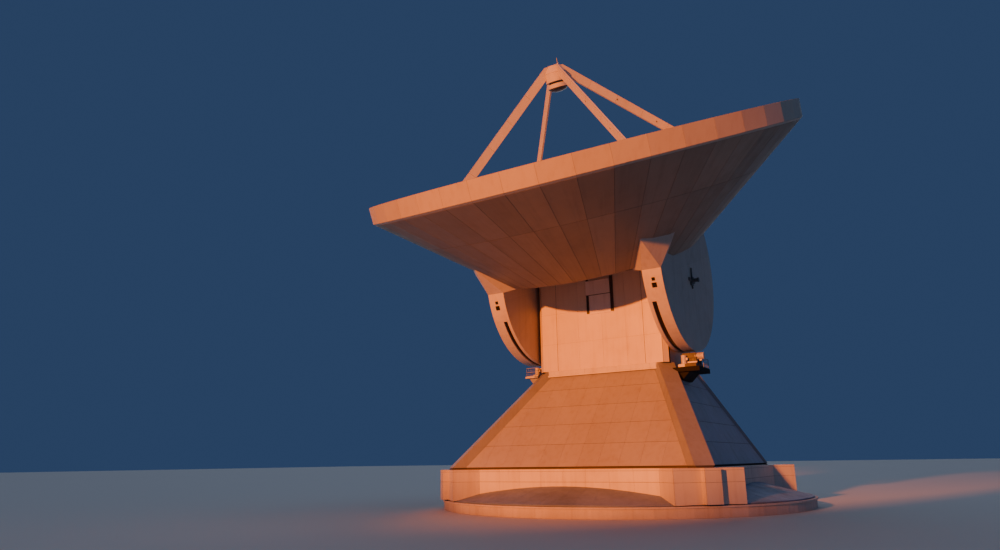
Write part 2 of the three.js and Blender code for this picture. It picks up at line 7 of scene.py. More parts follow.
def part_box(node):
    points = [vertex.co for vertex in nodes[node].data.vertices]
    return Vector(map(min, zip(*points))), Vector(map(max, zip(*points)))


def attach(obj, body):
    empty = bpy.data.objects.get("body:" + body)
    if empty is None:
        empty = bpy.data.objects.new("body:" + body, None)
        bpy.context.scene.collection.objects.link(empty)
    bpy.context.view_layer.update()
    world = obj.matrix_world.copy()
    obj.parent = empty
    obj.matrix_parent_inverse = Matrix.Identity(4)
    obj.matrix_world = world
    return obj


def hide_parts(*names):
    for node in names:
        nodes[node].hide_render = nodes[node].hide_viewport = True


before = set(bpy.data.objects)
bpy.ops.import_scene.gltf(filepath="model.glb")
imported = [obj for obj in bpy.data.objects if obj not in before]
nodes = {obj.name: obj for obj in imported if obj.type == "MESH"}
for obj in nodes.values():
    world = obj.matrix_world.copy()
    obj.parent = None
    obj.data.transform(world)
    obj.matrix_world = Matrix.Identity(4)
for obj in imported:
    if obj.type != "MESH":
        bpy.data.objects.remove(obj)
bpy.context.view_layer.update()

half = 0.5  # the model is built at half scale; sizes below are the full-size telescope's, in metres


# Camera
# Eye height on a rise about five metres above the ground, a little to the right of the
# telescope's front and looking up at it, with the slight lean of the photograph.
camera_place = (16.61, -39.51, 2.51)
camera_turn, camera_tip, camera_lean = math.radians(32.1), math.radians(104.5), math.radians(-0.83)
view_edge = 2000


def at(x, y, z):
    """A point of the full-size telescope, in the model's own metres."""
    return Vector((x, y, z)) * half


camera = bpy.data.objects.new("camera", bpy.data.cameras.new("camera"))
bpy.context.collection.objects.link(camera)
camera.matrix_world = (
    Matrix.Translation(camera_place)
    @ Matrix.Rotation(camera_turn, 4, "Z")
    @ Matrix.Rotation(camera_tip, 4, "X")
    @ Matrix.Rotation(camera_lean, 4, "Z")
)
camera.data.sensor_width = 36
camera.data.lens = 25.165
camera.data.shift_y = 0.0063
camera.data.clip_end = view_edge
bpy.context.scene.camera = camera


# Concrete foundation
# A round wall of cast concrete under the track, with a thin lip round its top and a floor slab
# inside. Curved form boards left its outer face in tall bays with narrow joints.
bay_joint = 0.010
bay_depth = 0.010
outer_skin = 20.4
lip_foot = 0.84
dice = random.Random(31)


def shade(tree, kind, inputs, **options):
    """Adds a shader node, sets its options, and fills or links its inputs by name or number."""
    made = tree.nodes.new("ShaderNode" + kind)
    for option, value in options.items():
        setattr(made, option, value)
    for socket, value in inputs.items():
        if isinstance(value, bpy.types.NodeSocket):
            tree.links.new(value, made.inputs[socket])
        else:
            made.inputs[socket].default_value = value
    return made


def noise(tree, place, scale, detail=4.0, rough=0.55):
    """A soft random pattern from 0 to 1."""
    return shade(tree, "TexNoise", {
        "Vector": place, "Scale": scale, "Detail": detail, "Roughness": rough}).outputs[0]


def spread(tree, value, low, high, to_low, to_high):
    """Stretches a stretch of a pattern to another range, and clips the rest."""
    return shade(tree, "MapRange", {
        "Value": value, "From Min": low, "From Max": high,
        "To Min": to_low, "To Max": to_high}).outputs[0]


def sums(tree, kind, *values):
    """One step of arithmetic."""
    return shade(tree, "Math", dict(enumerate(values)), operation=kind).outputs[0]


def blend(tree, amount, first, second):
    """Goes from one colour to another."""
    return shade(tree, "Mix", {0: amount, 6: first, 7: second}, data_type="RGBA").outputs[2]


def rain(tree, place):
    """Coordinates drawn out downwards, for dirt that runs with the rain."""
    return shade(tree, "Mapping", {"Vector": place, "Scale": (3.6, 3.6, 0.22)}).outputs[0]


def weathered(name, colour, soil, rough=0.5, metal=0.0, stain=0.3, run=0.3, speckle=0.0, tone=0.06,
              ripple=0.003, grain=0.0004, gloss=0.5, foot_mud_and_shade=None, flow=rain):
    """A weathered surface: broad stains, runs of dirt, fine speckle, a little waviness, and
    panels that differ by their own tone. Up to a given height it darkens towards the bottom:
    dried mud, with painted shade near the ground."""
    material = bpy.data.materials.new(name)
    material.use_nodes = True
    tree = material.node_tree
    skin = tree.nodes["Principled BSDF"]
    skin.inputs["Metallic"].default_value = metal
    skin.inputs["Specular IOR Level"].default_value = gloss
    place = shade(tree, "TexCoord", {}).outputs["Object"]
    broad = noise(tree, place, 0.38, 5.0, 0.6)
    middle = noise(tree, place, 1.9, 4.0)
    runs = noise(tree, flow(tree, place), 1.0, 6.0, 0.62)
    fine = noise(tree, place, 26.0, 3.0, 0.7)
    dirt = sums(tree, "ADD", spread(tree, broad, 0.42, 0.72, 0.0, stain),
                spread(tree, runs, 0.48, 0.74, 0.0, run))
    dirt = sums(tree, "MULTIPLY", dirt, spread(tree, middle, 0.3, 0.7, 0.65, 1.15))
    dirt = sums(tree, "ADD", dirt, spread(tree, fine, 0.5, 0.8, 0.0, speckle))
    # Up to that height the colour darkens towards the bottom: dried mud, with painted shade near the ground.
    if foot_mud_and_shade:
        height = shade(tree, "SeparateXYZ", {0: place}).outputs[2]
        ragged = sums(tree, "MULTIPLY_ADD", middle, 0.5, height)
        dirt = sums(tree, "ADD", dirt, spread(tree, ragged, foot_mud_and_shade, foot_mud_and_shade + 0.55, 0.45, 0.0))
    dirt = sums(tree, "MINIMUM", dirt, 1.0)
    painted = blend(tree, dirt, (*colour, 1), (*soil, 1))
    own = shade(tree, "Attribute", {}, attribute_name="tone").outputs["Fac"]
    value = sums(tree, "MULTIPLY_ADD", own, tone, 1.0)
    shifted = shade(tree, "HueSaturation", {"Value": value, "Color": painted}).outputs[0]
    tree.links.new(shifted, skin.inputs["Base Color"])
    satin = spread(tree, middle, 0.3, 0.7, rough - 0.05, rough + 0.06)
    uneven = sums(tree, "MULTIPLY_ADD", dirt, 0.22, satin)
    tree.links.new(uneven, skin.inputs["Roughness"])
    height = sums(tree, "MULTIPLY_ADD", middle, ripple, sums(tree, "MULTIPLY", fine, grain))
    bump = shade(tree, "Bump", {"Strength": 0.9, "Distance": 1.0, "Height": height})
    tree.links.new(bump.outputs[0], skin.inputs["Normal"])
    return material


def only(piece):
    """Makes one piece the selected and the active one."""
    bpy.ops.object.select_all(action="DESELECT")
    bpy.context.view_layer.objects.active = piece
    piece.select_set(True)


def whole():
    """Opens the active piece's mesh for editing, with all of it selected."""
    bpy.ops.object.mode_set(mode="EDIT")
    bpy.ops.mesh.select_all(action="SELECT")


def closed():
    """Ends the editing of a mesh."""
    bpy.ops.object.mode_set(mode="OBJECT")


def choose(parts, kind, rule):
    """Opens edit mode with only the faces or edges that the rule accepts."""
    bpy.ops.object.mode_set(mode="EDIT")
    bpy.ops.mesh.select_mode(type=kind)
    bpy.ops.mesh.select_all(action="DESELECT")
    closed()
    for part in parts:
        part.select = bool(rule(part))
    bpy.ops.object.mode_set(mode="EDIT")


def cleared():
    """Deletes the faces that aren't selected, such as the joints between inset panels."""
    bpy.ops.mesh.select_all(action="INVERT")
    bpy.ops.mesh.delete(type="FACE")


def applied(piece, kind, **settings):
    """Adds a modifier to a piece and applies it."""
    only(piece)
    modifier = piece.modifiers.new(kind.lower(), kind)
    for setting, value in settings.items():
        setattr(modifier, setting, value)
    bpy.ops.object.modifier_apply(modifier=modifier.name)


def toned(piece):
    """Gives every panel of a piece its own tone, from -1 to 1."""
    tone = piece.data.attributes.new("tone", "FLOAT", "FACE")
    for mark in tone.data:
        mark.value = dice.uniform(-1.0, 1.0)


def fitted(piece, body, slot, finish, *stands_for):
    """Finishes a piece: its material, the body it rides on, and the CAD nodes that it stands for."""
    piece.data.materials.clear()
    piece.data.materials.append(finish)
    piece.data.polygons.foreach_set("material_index", [0] * len(piece.data.polygons))
    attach(piece, body)
    if stands_for:
        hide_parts(*stands_for)
    return piece


def painted_nodes(finish, *names):
    """Gives carried-over CAD nodes their finish."""
    for name in names:
        for spot in nodes[name].material_slots:
            spot.material = finish


def sheets(name, source, outside, stages, body, slot, finish, proud=0.016, edge=0.006):
    """Clads the outer faces of a CAD wall in panels. Each stage is a list of seams, as a point and
    a direction, with the width of their joints; the panels stand a little proud of the wall."""
    piece = bpy.data.objects.new(name, nodes[source].data.copy())
    bpy.context.collection.objects.link(piece)
    only(piece)
    bpy.ops.mesh.customdata_custom_splitnormals_clear()
    whole()
    bpy.ops.mesh.remove_doubles(threshold=0.0001)
    choose(piece.data.polygons, "FACE", lambda face: outside(face.center, face.normal))
    cleared()
    whole()
    bpy.ops.mesh.dissolve_limited(angle_limit=math.radians(0.6))
    for seams, joint in stages:
        for place, way in seams:
            whole()
            bpy.ops.mesh.bisect(plane_co=place, plane_no=way)
        whole()
        bpy.ops.mesh.inset(thickness=joint * half / 2, use_individual=True)
        cleared()
    closed()
    bpy.ops.object.shade_flat()
    toned(piece)
    applied(piece, "SOLIDIFY", thickness=proud * half, offset=1.0)
    applied(piece, "BEVEL", width=edge * half, segments=1, limit_method="ANGLE",
            angle_limit=math.radians(40))
    return fitted(piece, body, slot, finish)


concrete = weathered(
    "weathered_concrete", (0.66, 0.59, 0.54), (0.34, 0.28, 0.23), rough=0.86, speckle=0.3, tone=0.05,
    ripple=0.002, grain=0.0012, foot_mud_and_shade=0.1)
painted_nodes(concrete, "foundation_floor", "foundation_ring")
sheets("formed_bays", "foundation_ring",
       lambda middle, way: abs(way.z) < 0.1 and middle.xy.length > outer_skin * half
       and middle.z < lip_foot * half and way.xy.dot(middle.xy) > 0,
       [([], bay_joint)], "foundation", "concrete", concrete, proud=bay_depth)


# Track rail
# A heavy rolled rail on the inner step of the foundation, held down by pairs of bolted clips,
# and the machined pin at the centre that the whole building turns round.
step_top = 0.722
clip_top = 0.79
inner_clip, outer_clip = (19.28, 19.545), (19.955, 20.13)
clip_bolts = (19.40, 20.05)
clip_count = 90
clip_half_width = 0.09
bolt_radius = 0.035

rail_steel = weathered(
    "rolled_rail_steel", (0.33, 0.30, 0.28), (0.16, 0.085, 0.05), rough=0.38, metal=0.85, stain=0.5,
    run=0.15, speckle=0.3, ripple=0.0006, grain=0.0003)
machined = weathered(
    "machined_steel", (0.47, 0.46, 0.45), (0.2, 0.16, 0.13), rough=0.32, metal=0.9, stain=0.25, run=0.2,
    speckle=0.1, ripple=0.0004, grain=0.0002)
painted_nodes(rail_steel, "azimuth_rail")
painted_nodes(machined, "pintle_pin")


def block(low, high, edge=0.012):
    """A bar or plate between two corners, with its edges broken."""
    low, high = at(*low), at(*high)
    bpy.ops.mesh.primitive_cube_add(size=1, location=(low + high) / 2)
    piece = bpy.context.object
    piece.scale = high - low
    bpy.ops.object.transform_apply(location=True, rotation=True, scale=True)
    applied(piece, "BEVEL", width=edge * half, segments=1)
    return piece


def post(start, end, radius, sides=12):
    """A round bar from one point to another."""
    start, end = at(*start), at(*end)
    along = end - start
    bpy.ops.mesh.primitive_cylinder_add(
        vertices=sides, radius=radius * half, depth=along.length, location=(start + end) / 2,
        rotation=along.to_track_quat("Z", "Y").to_euler())
    piece = bpy.context.object
    bpy.ops.object.transform_apply(location=True, rotation=True, scale=True)
    return piece


def joined(name, pieces):
    """Makes one piece out of several."""
    only(pieces[0])
    for piece in pieces[1:]:
        piece.select_set(True)
    if len(pieces) > 1:
        bpy.ops.object.join()
    pieces[0].name = name
    pieces[0].data.name = name
    return pieces[0]


def repeated(name, piece, places):
    """Copies a small piece to every place and makes one piece of the copies."""
    copies = []
    for place in places:
        copy = piece.copy()
        copy.data = piece.data.copy()
        copy.data.transform(place)
        bpy.context.collection.objects.link(copy)
        copies.append(copy)
    bpy.data.objects.remove(piece)
    return joined(name, copies)


def turns(count, start=0.0, sweep=360.0, axis="Z"):
    """Places round an axis, evenly over a sweep of degrees."""
    return [Matrix.Rotation(math.radians(start + sweep * step / count), 4, axis)
            for step in range(count)]


def bolt(place, way, radius):
    """A hexagon bolt head on its washer, at a point on a face."""
    place, way = Vector(place), Vector(way).normalized()
    head = post(place, place + way * radius * 1.1, radius, 6)
    washer = post(place, place + way * radius * 0.3, radius * 1.5, 12)
    return joined("bolt", [head, washer])


clip_parts = [
    block((near, -clip_half_width, step_top), (far, clip_half_width, clip_top))
    for near, far in (inner_clip, outer_clip)
]
clip_parts += [bolt((radius, 0, clip_top), (0, 0, 1), bolt_radius) for radius in clip_bolts]
clip = joined("clip", clip_parts)
clips = repeated("rail_clips", clip, turns(clip_count))
fitted(clips, "foundation", "steel", rail_steel)


# Track cover
# A low cone of painted sheet that turns with the building over the track. It is laid in tapered
# sheets with narrow joints, and ends in a folded drip edge just above the foundation's lip.
cover_joint = 0.016
drip_section = [
    (20.33, 1.06), (20.37, 1.06), (20.37, 1.165), (20.22, 1.205), (20.22, 1.175), (20.33, 1.145)]

# The cover's dark dull blue is painted shade: the cool shade on the grazing-lit cone.
cover_shade_coat = weathered(
    "track_cover_shade_coat", (0.20, 0.255, 0.42), (0.12, 0.12, 0.12), rough=0.55, stain=0.5, run=0.2,
    speckle=0.12, tone=0.05, ripple=0.004)
painted_nodes(cover_shade_coat, "track_cover")
sheets("cover_sheets", "track_cover", lambda middle, way: way.z > 0.7,
       [([], cover_joint)], "alidade", "shaded_cladding", cover_shade_coat, proud=0.012)


def spun(name, section, steps=96, sweep=360.0, place=None):
    """Spins a closed section of radii and heights round the upright axis into a ring."""
    bpy.ops.mesh.primitive_circle_add(vertices=len(section), radius=1)
    piece = bpy.context.object
    piece.name = name
    for corner, (radius, height) in zip(piece.data.vertices, section):
        corner.co = at(radius, 0, height)
    whole()
    if sweep < 360:
        bpy.ops.mesh.edge_face_add()
    bpy.ops.mesh.spin(steps=steps, angle=-math.radians(sweep), center=(0, 0, 0), axis=(0, 0, 1))
    whole()
    bpy.ops.mesh.remove_doubles(threshold=0.00005)
    bpy.ops.mesh.normals_make_consistent(inside=False)
    closed()
    bpy.ops.object.location_clear()
    if place:
        piece.data.transform(place)
    bpy.ops.object.shade_smooth_by_angle(angle=math.radians(32))
    return piece


drip = spun("cover_drip_edge", drip_section)
fitted(drip, "alidade", "shaded_cladding", cover_shade_coat)


# Skirt
# Flat walls of insulated sheet panels on the track cover, with a housing over the wheels at each
# corner and a coping all round. A faint joint runs along each wall two thirds of the way up.
bay_width = 2.487
skirt_joint = 3.02
level_joint, bay_gap = 0.018, 0.008
wall_skin = 14.8
coping_top = 4.25
coping_seams = (-12.4, -7.4, -2.5, 2.5, 7.4, 12.4)
coping_joint = 0.012


def upright(x):
    """A seam plane across the building's width."""
    return (at(x, 0, 0), (1, 0, 0))


def crossing(y):
    """A seam plane across the building's depth."""
    return (at(0, y, 0), (0, 1, 0))


def level(z):
    """A seam plane at a height."""
    return (at(0, 0, z), (0, 0, 1))


cladding = weathered(
    "white_cladding_paint", (0.69, 0.62, 0.55), (0.40, 0.31, 0.25), rough=0.47, stain=0.26,
    speckle=0.05, tone=0.035, ripple=0.0035, grain=0.0003, foot_mud_and_shade=0.35)
# Near-black seal shows in the panel joints, and also as painted shade in the recessed collar under the
# pyramid.
seal_and_gap_shade = weathered(
    "dark_seal_and_gap_shade", (0.060, 0.050, 0.044), (0.11, 0.085, 0.07), rough=0.8, stain=0.4, ripple=0.001)
skirt_ways = {"front": (0, -1), "right": (1, 0), "back": (0, 1), "left": (-1, 0)}
for side, (way_x, way_y) in skirt_ways.items():
    name = "skirt_wall_" + side
    painted_nodes(seal_and_gap_shade, name)
    across = Vector((abs(way_y), abs(way_x), 0))
    bays = [(across * step * bay_width * half, across) for step in range(-3, 4)]
    outward = Vector((way_x, way_y, 0))
    sheets("skirt_panels_" + side, name,
           lambda middle, way, outward=outward: way.dot(outward) > 0.8
           and middle.dot(outward) > wall_skin * half,
           [([level(skirt_joint)], level_joint), (bays, bay_gap)],
           "alidade", "cladding", cladding)

corner_ways = {
    "front_right": (1, -1), "front_left": (-1, -1), "back_right": (1, 1), "back_left": (-1, 1)}
for corner in corner_ways:
    name = "bogie_housing_" + corner
    painted_nodes(seal_and_gap_shade, name)
    low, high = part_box(name)
    centre = (low + high) / 2
    sheets("housing_panels_" + corner, name,
           lambda middle, way, centre=centre: abs(way.z) < 0.3
           and way.xy.dot(middle.xy - centre.xy) > 0.3,
           [([level(skirt_joint)], level_joint)], "alidade", "cladding", cladding)

# The collar between the coping and the pyramid is left in the near-black seal: a painted shadow line in the
# recess.
painted_nodes(seal_and_gap_shade, "skirt_roof")
sheets("skirt_coping", "skirt_roof",
       lambda middle, way: middle.z < coping_top * half + 0.002 and way.z > -0.5
       and (way.z > 0.5 or way.xy.dot(middle.xy) > 0),
       [([upright(x) for x in coping_seams] + [crossing(y) for y in coping_seams], coping_joint)],
       "alidade", "cladding", cladding)


# Pyramid
# The steel frame above the skirt is covered in wide courses of painted panels that lean inwards,
# with a narrow upright joint every two metres. Box-shaped corner legs stand proud of the courses.
course_heights = [6.73, 8.85, 10.95, 13.0]
course_joint = 0.028
upright_joint = 0.010
upright_pitch = 2.2
leg_joint = 0.02
deck_seams, deck_joint = (-6, -2, 2, 6), 0.012

# The courses are darker and bluer than the house's white: a duller paint, with painted shade on the leaning
# walls.
pyramid_coat_and_shade = weathered(
    "pyramid_coat_and_shade", (0.405, 0.39, 0.475), (0.27, 0.22, 0.19), stain=0.26, speckle=0.05, tone=0.035,
    ripple=0.0035, grain=0.0003)
# The corner legs are darker and bluer still than the courses: painted shade on their side-lit faces.
leg_coat_and_shade = weathered(
    "leg_coat_and_shade", (0.285, 0.29, 0.345), (0.20, 0.175, 0.16), run=0.35, speckle=0.05, tone=0.04)
courses = [level(height) for height in course_heights]
for side, (way_x, way_y) in skirt_ways.items():
    name = "pyramid_wall_" + side
    painted_nodes(seal_and_gap_shade, name)
    across = Vector((abs(way_y), abs(way_x), 0))
    uprights = [(across * (step + 0.5) * upright_pitch * half, across) for step in range(-6, 6)]
    outward = Vector((way_x, way_y, 0))
    sheets("pyramid_panels_" + side, name,
           lambda middle, way, outward=outward: way.dot(outward) > 0.4 and way.z > 0.1,
           [(courses, course_joint), (uprights, upright_joint)], "alidade", "cladding", pyramid_coat_and_shade)

for corner, (way_x, way_y) in corner_ways.items():
    name = "corner_leg_" + corner
    painted_nodes(leg_coat_and_shade, name)
    diagonal = Vector((way_x, way_y, 0)).normalized()
    sheets("leg_panels_" + corner, name,
           lambda middle, way, diagonal=diagonal: way.dot(diagonal) > -0.3 and way.z > -0.2,
           [(courses, leg_joint)], "alidade", "cladding", leg_coat_and_shade, proud=0.014)
painted_nodes(seal_and_gap_shade, "pyramid_deck")
sheets("deck_sheets", "pyramid_deck", lambda middle, way: way.z > -0.5,
       [([upright(x) for x in deck_seams], deck_joint)], "alidade", "cladding", cladding, proud=0.010)


# House
# A tall plain house stands on the pyramid between the two bearings. Its walls are smooth panels
# from top to bottom: a wide middle field and a strip at each corner, over a low plinth.
strip_edge = 5.5
field_joints = [-2.6, 0.45, 3.4]
side_joints = [-1.8, 0.6]
field_levels = [18.7, 22.4]
strip_joint, side_joint, field_joint = 0.03, 0.02, 0.008
front_skin, side_skin = 3.8, 7.96

# The house's white is warmer and brighter than the rest: cream paint, with the warm glow of the low sun
# painted into it.
house_coat_and_glow = weathered(
    "house_coat_and_glow", (0.76, 0.645, 0.49), (0.46, 0.33, 0.23), rough=0.42, stain=0.25, run=0.28,
    speckle=0.04, tone=0.03)

for part in ("wall_front", "wall_back", "wall_left", "wall_right", "roof"):
    painted_nodes(seal_and_gap_shade, "house_" + part)
for side, way_y in (("front", -1), ("back", 1)):
    sheets("house_panels_" + side, "house_wall_" + side,
           lambda middle, way, way_y=way_y: way.y * way_y > 0.5
           and middle.y * way_y > front_skin * half,
           [([upright(-strip_edge), upright(strip_edge)], strip_joint),
            ([upright(x) for x in field_joints] + [level(z) for z in field_levels], field_joint)],
           "alidade", "cladding", house_coat_and_glow, proud=0.02)
for side, way_x in (("left", -1), ("right", 1)):
    sheets("house_panels_" + side, "house_wall_" + side,
           lambda middle, way, way_x=way_x: way.x * way_x > 0.5
           and middle.x * way_x > side_skin * half,
           [([crossing(y) for y in side_joints], side_joint),
            ([level(z) for z in field_levels], field_joint)],
           "alidade", "cladding", house_coat_and_glow, proud=0.02)


# Upper hatch
# High on the front a tall hatch slides between two deep steel channels over a thin sill. Its square
# upper leaf laps over the left channel; it has no joint here, as it stays shut.
hatch_left, hatch_right = -1.2, 1.9
hatch_foot, hatch_head = 21.9, 26.2
left_channel, right_channel = 0.26, 0.34
wall_face = -4.45
web_face = wall_face - 0.05
flange_face = wall_face - 0.16
flange = 0.04
leaf_left, leaf_right = hatch_left - 0.15, hatch_right - 0.18
leaf_foot, leaf_head = 24.16, 25.85
leaf_face = wall_face - 0.22
fold, fold_face = 0.08, leaf_face - 0.04
panel_face, sill_face, surround_face = wall_face - 0.03, wall_face - 0.09, wall_face - 0.12
panel_left, panel_foot, panel_head = hatch_left + 0.15, hatch_foot + 0.02, leaf_foot - 0.06
sill_left, sill_right, sill_foot = hatch_left - 0.1, hatch_right + 0.15, hatch_foot - 0.08
surround_foot, surround_head, surround_side = leaf_foot - 0.07, leaf_head + 0.05, 0.05

channel_parts = []
for x, wide in ((hatch_left, left_channel), (hatch_right, right_channel)):
    left, right = x - wide / 2, x + wide / 2
    channel_parts += [
        block((left, web_face, hatch_foot), (right, wall_face, hatch_head)),
        block((left, flange_face, hatch_foot), (left + flange, web_face, hatch_head)),
        block((right - flange, flange_face, hatch_foot), (right, web_face, hatch_head)),
    ]
channels = joined("hatch_channels", channel_parts)
# The channels are near-black: painted shade in their deep recesses. The same steel closes the blade ports.
dark_steel_and_gap_shade = weathered(
    "channel_steel_and_gap_shade", (0.055, 0.045, 0.04), (0.12, 0.085, 0.065), rough=0.55, run=0.4,
    ripple=0.0008)
fitted(channels, "alidade", "dark_steel", dark_steel_and_gap_shade)

leaf_parts = [
    block((panel_left, panel_face, panel_foot), (leaf_right, wall_face, panel_head)),
    block((sill_left, sill_face, sill_foot), (sill_right, wall_face, hatch_foot)),
    block((leaf_left, leaf_face, leaf_foot), (leaf_right, wall_face, leaf_head)),
]
for z in (leaf_foot, leaf_head - fold):
    leaf_parts.append(block((leaf_left, fold_face, z), (leaf_right, leaf_face, z + fold)))
for x in (leaf_left, leaf_right - fold):
    leaf_parts.append(block((x, fold_face, leaf_foot + fold), (x + fold, leaf_face, leaf_head - fold)))
leaf = joined("hatch_leaf", leaf_parts)
# The leaf is a lighter white than the house: a painted highlight on the proud leaf.
leaf_coat_and_light = weathered(
    "hatch_leaf_coat_and_light", (0.86, 0.78, 0.70), (0.52, 0.41, 0.33), rough=0.45, run=0.35, ripple=0.002)
fitted(leaf, "alidade", "cladding", leaf_coat_and_light)
# A near-black plate just larger than the leaf shows round its edges as a painted shadow gap.
surround = block((leaf_left - surround_side, surround_face, surround_foot),
                 (leaf_right + surround_side, wall_face - 0.002, surround_head))
surround.name = "hatch_leaf_surround"
fitted(surround, "alidade", "dark_steel", dark_steel_and_gap_shade)


# House roof
# The roof is a plate of sheets two metres wide, laid across the house with open joints between
# them, in the same paint as the walls.
roof_seams = (-6, -4, -2, 0, 2, 4, 6)
roof_joint = 0.02

sheets("roof_sheets", "house_roof", lambda middle, way: way.z > 0.15,
       [([upright(x) for x in roof_seams], roof_joint)], "alidade", "cladding", house_coat_and_glow)


# Elevation bearings
# Heavy flanged housings on both sides of the house carry the dish's stub shafts. Each flange is
# held to the wall by a circle of large bolts.
axle_y, axle_z = -2.38, 26.47
axle_point = at(0, axle_y, axle_z)
flange_out = 8.385
bearing_bolts = 28
bearing_bolt_circle = 1.04
bearing_bolt = 0.045

# Near-black grey paint; on the right drive platform and its bracket it also stands for painted shade.
black_coat_and_shade = weathered(
    "near_black_paint_and_shade", (0.012, 0.0125, 0.0135), (0.024, 0.022, 0.021), rough=0.6, speckle=0.15,
    tone=0.05, ripple=0.0008, grain=0.0003, gloss=0.1)
painted_nodes(black_coat_and_shade, "elevation_bearing_left", "elevation_bearing_right", "pintle_cross")
for side, way_x in (("left", -1), ("right", 1)):
    head = bolt((0, bearing_bolt_circle, 0), (1, 0, 0), bearing_bolt)
    ring = repeated("bearing_bolts_" + side, head, [
        Matrix.Translation(at(flange_out, axle_y, axle_z)) @ turn
        for turn in turns(bearing_bolts, axis="X")])
    if way_x < 0:
        only(ring)
        bpy.ops.transform.mirror(constraint_axis=(True, False, False), center_override=(0, 0, 0))
        bpy.ops.object.transform_apply(location=True, rotation=True, scale=True)
        whole()
        bpy.ops.mesh.normals_make_consistent(inside=False)
        closed()
    fitted(ring, "alidade", "dark_steel", black_coat_and_shade)


# Elevation wheels
# Two great sector wheels of welded plate carry the toothed racks that tilt the dish. Their bands
# and shoulders are clad in white sheet; the discs are plain plate, in segments.
wheel_radius = 9.82
band_depth = 0.45
disc_sectors = 12
first_sector = -10.6
disc_joint = 0.02

wheel_paint = weathered(
    "wheel_paint", (0.64, 0.575, 0.515), (0.36, 0.28, 0.23), rough=0.42, stain=0.25, run=0.28,
    speckle=0.05, tone=0.03, ripple=0.0025)
# The disc plates are a darker white than the bands: painted shade on the discs, which face sideways, away
# from the key.
disc_coat_and_shade = weathered(
    "disc_plate_coat_and_shade", (0.52, 0.475, 0.435), (0.31, 0.25, 0.21), rough=0.46, stain=0.25, speckle=0.05,
    tone=0.035, ripple=0.0025)
painted_nodes(wheel_paint, "elevation_wheel_left", "elevation_wheel_right")
disc_seams = [(axle_point, turn.to_3x3() @ Vector((0, 1, 0)))
              for turn in turns(disc_sectors // 2, start=first_sector, sweep=180.0, axis="X")]


def plated(middle, way):
    """True on the flat discs and the shoulders of a wheel, not on its round band or in its slot."""
    radius = (middle - axle_point).yz.length / half
    in_band = radius > wheel_radius - band_depth and abs(way.x) < 0.5
    return not in_band or way.x * middle.x > 0 and abs(way.x) > 0.5


for side in ("left", "right"):
    sheets("wheel_plates_" + side, "elevation_wheel_" + side, plated,
           [(disc_seams, disc_joint)], "reflector", "cladding", disc_coat_and_shade, proud=0.012)


# Toothed racks
# A cut steel rack lies in the slot of each wheel's band, and the drive's pinion climbs along it.
# Each is a bent web with its teeth cut across it, dark with grease.
axle = Matrix.Translation(axle_point)
rack_start, rack_sweep = -171.1, 86.9
rack_foot, rack_root, rack_crest = 9.48, 9.56, 9.66
rack_low, rack_high = 8.86, 9.34
rack_teeth = 118
root_half, crest_half = 0.043, 0.022

rack_steel = weathered(
    "greased_rack_steel", (0.045, 0.04, 0.038), (0.02, 0.016, 0.014), rough=0.4, metal=0.6, stain=0.5,
    speckle=0.2, ripple=0.0004)


def sideways(start):
    """Turns a ring spun round the upright axis to lie round the elevation axis, from an angle."""
    return axle @ Matrix(((0, 0, 1, 0), (1, 0, 0, 0), (0, 1, 0, 0), (0, 0, 0, 1))) @ Matrix.Rotation(
        math.radians(start), 4, "Z")


for side, way_x in (("left", -1), ("right", 1)):
    low, high = (rack_low, rack_high) if way_x > 0 else (-rack_high, -rack_low)
    web = spun("rack_web_" + side,
               [(rack_foot, low), (rack_foot, high), (rack_root, high), (rack_root, low)],
               steps=60, sweep=rack_sweep, place=sideways(rack_start))
    bpy.ops.mesh.primitive_cube_add(size=1)
    tooth = bpy.context.object
    for corner in tooth.data.vertices:
        radius, thick = (rack_crest, crest_half) if corner.co.x > 0 else (rack_root - 0.01, root_half)
        corner.co = at(radius, math.copysign(thick, corner.co.y), high if corner.co.z > 0 else low)
    tooth_rack = repeated("rack_teeth_" + side, tooth, [
        sideways(rack_start)
        @ Matrix.Rotation(math.radians(rack_sweep * (step + 0.5) / rack_teeth), 4, "Z")
        for step in range(rack_teeth)])
    rack = joined("toothed_rack_" + side, [web, tooth_rack])
    fitted(rack, "reflector", "dark_steel", rack_steel, "gear_rack_" + side)


# Wheel ports and hub brackets
# Two small hooded inspection ports open in each band just under the dish, and a cross-shaped
# bracket with a stub arm is bolted to the outer face of each disc beside the shaft.
port_angles = (20.3, 24.0)
port_sizes = (0.12, 0.20)
port_centre = 9.56
port_rim = 0.05
sill_reach, hood_reach, cheek_reach = 0.05, 0.10, 0.07
disc_face = 10.545
bracket_arms = ((-1.15, 0.95, -0.19, 0.19), (-0.10, 0.10, -0.95, 1.5))
bracket_bolts = ((-1.05, 0), (0.85, 0), (0, -0.85), (0, 1.4))
arm_thickness, boss_thickness, foot_thickness = 0.14, 0.24, 0.18
boss_radius, stub_radius, cap_radius = 0.42, 0.20, 0.27
stub_length, cap_length = 0.85, 0.14
foot_near, foot_far, foot_low, foot_high = -0.55, 0.2, -0.62, -0.22
bracket_y, bracket_z = axle_y + 0.83, axle_z - 1.62

bracket_paint = weathered(
    "hub_bracket_paint", (0.12, 0.12, 0.125), (0.09, 0.08, 0.075), rough=0.55, speckle=0.15,
    ripple=0.0008)

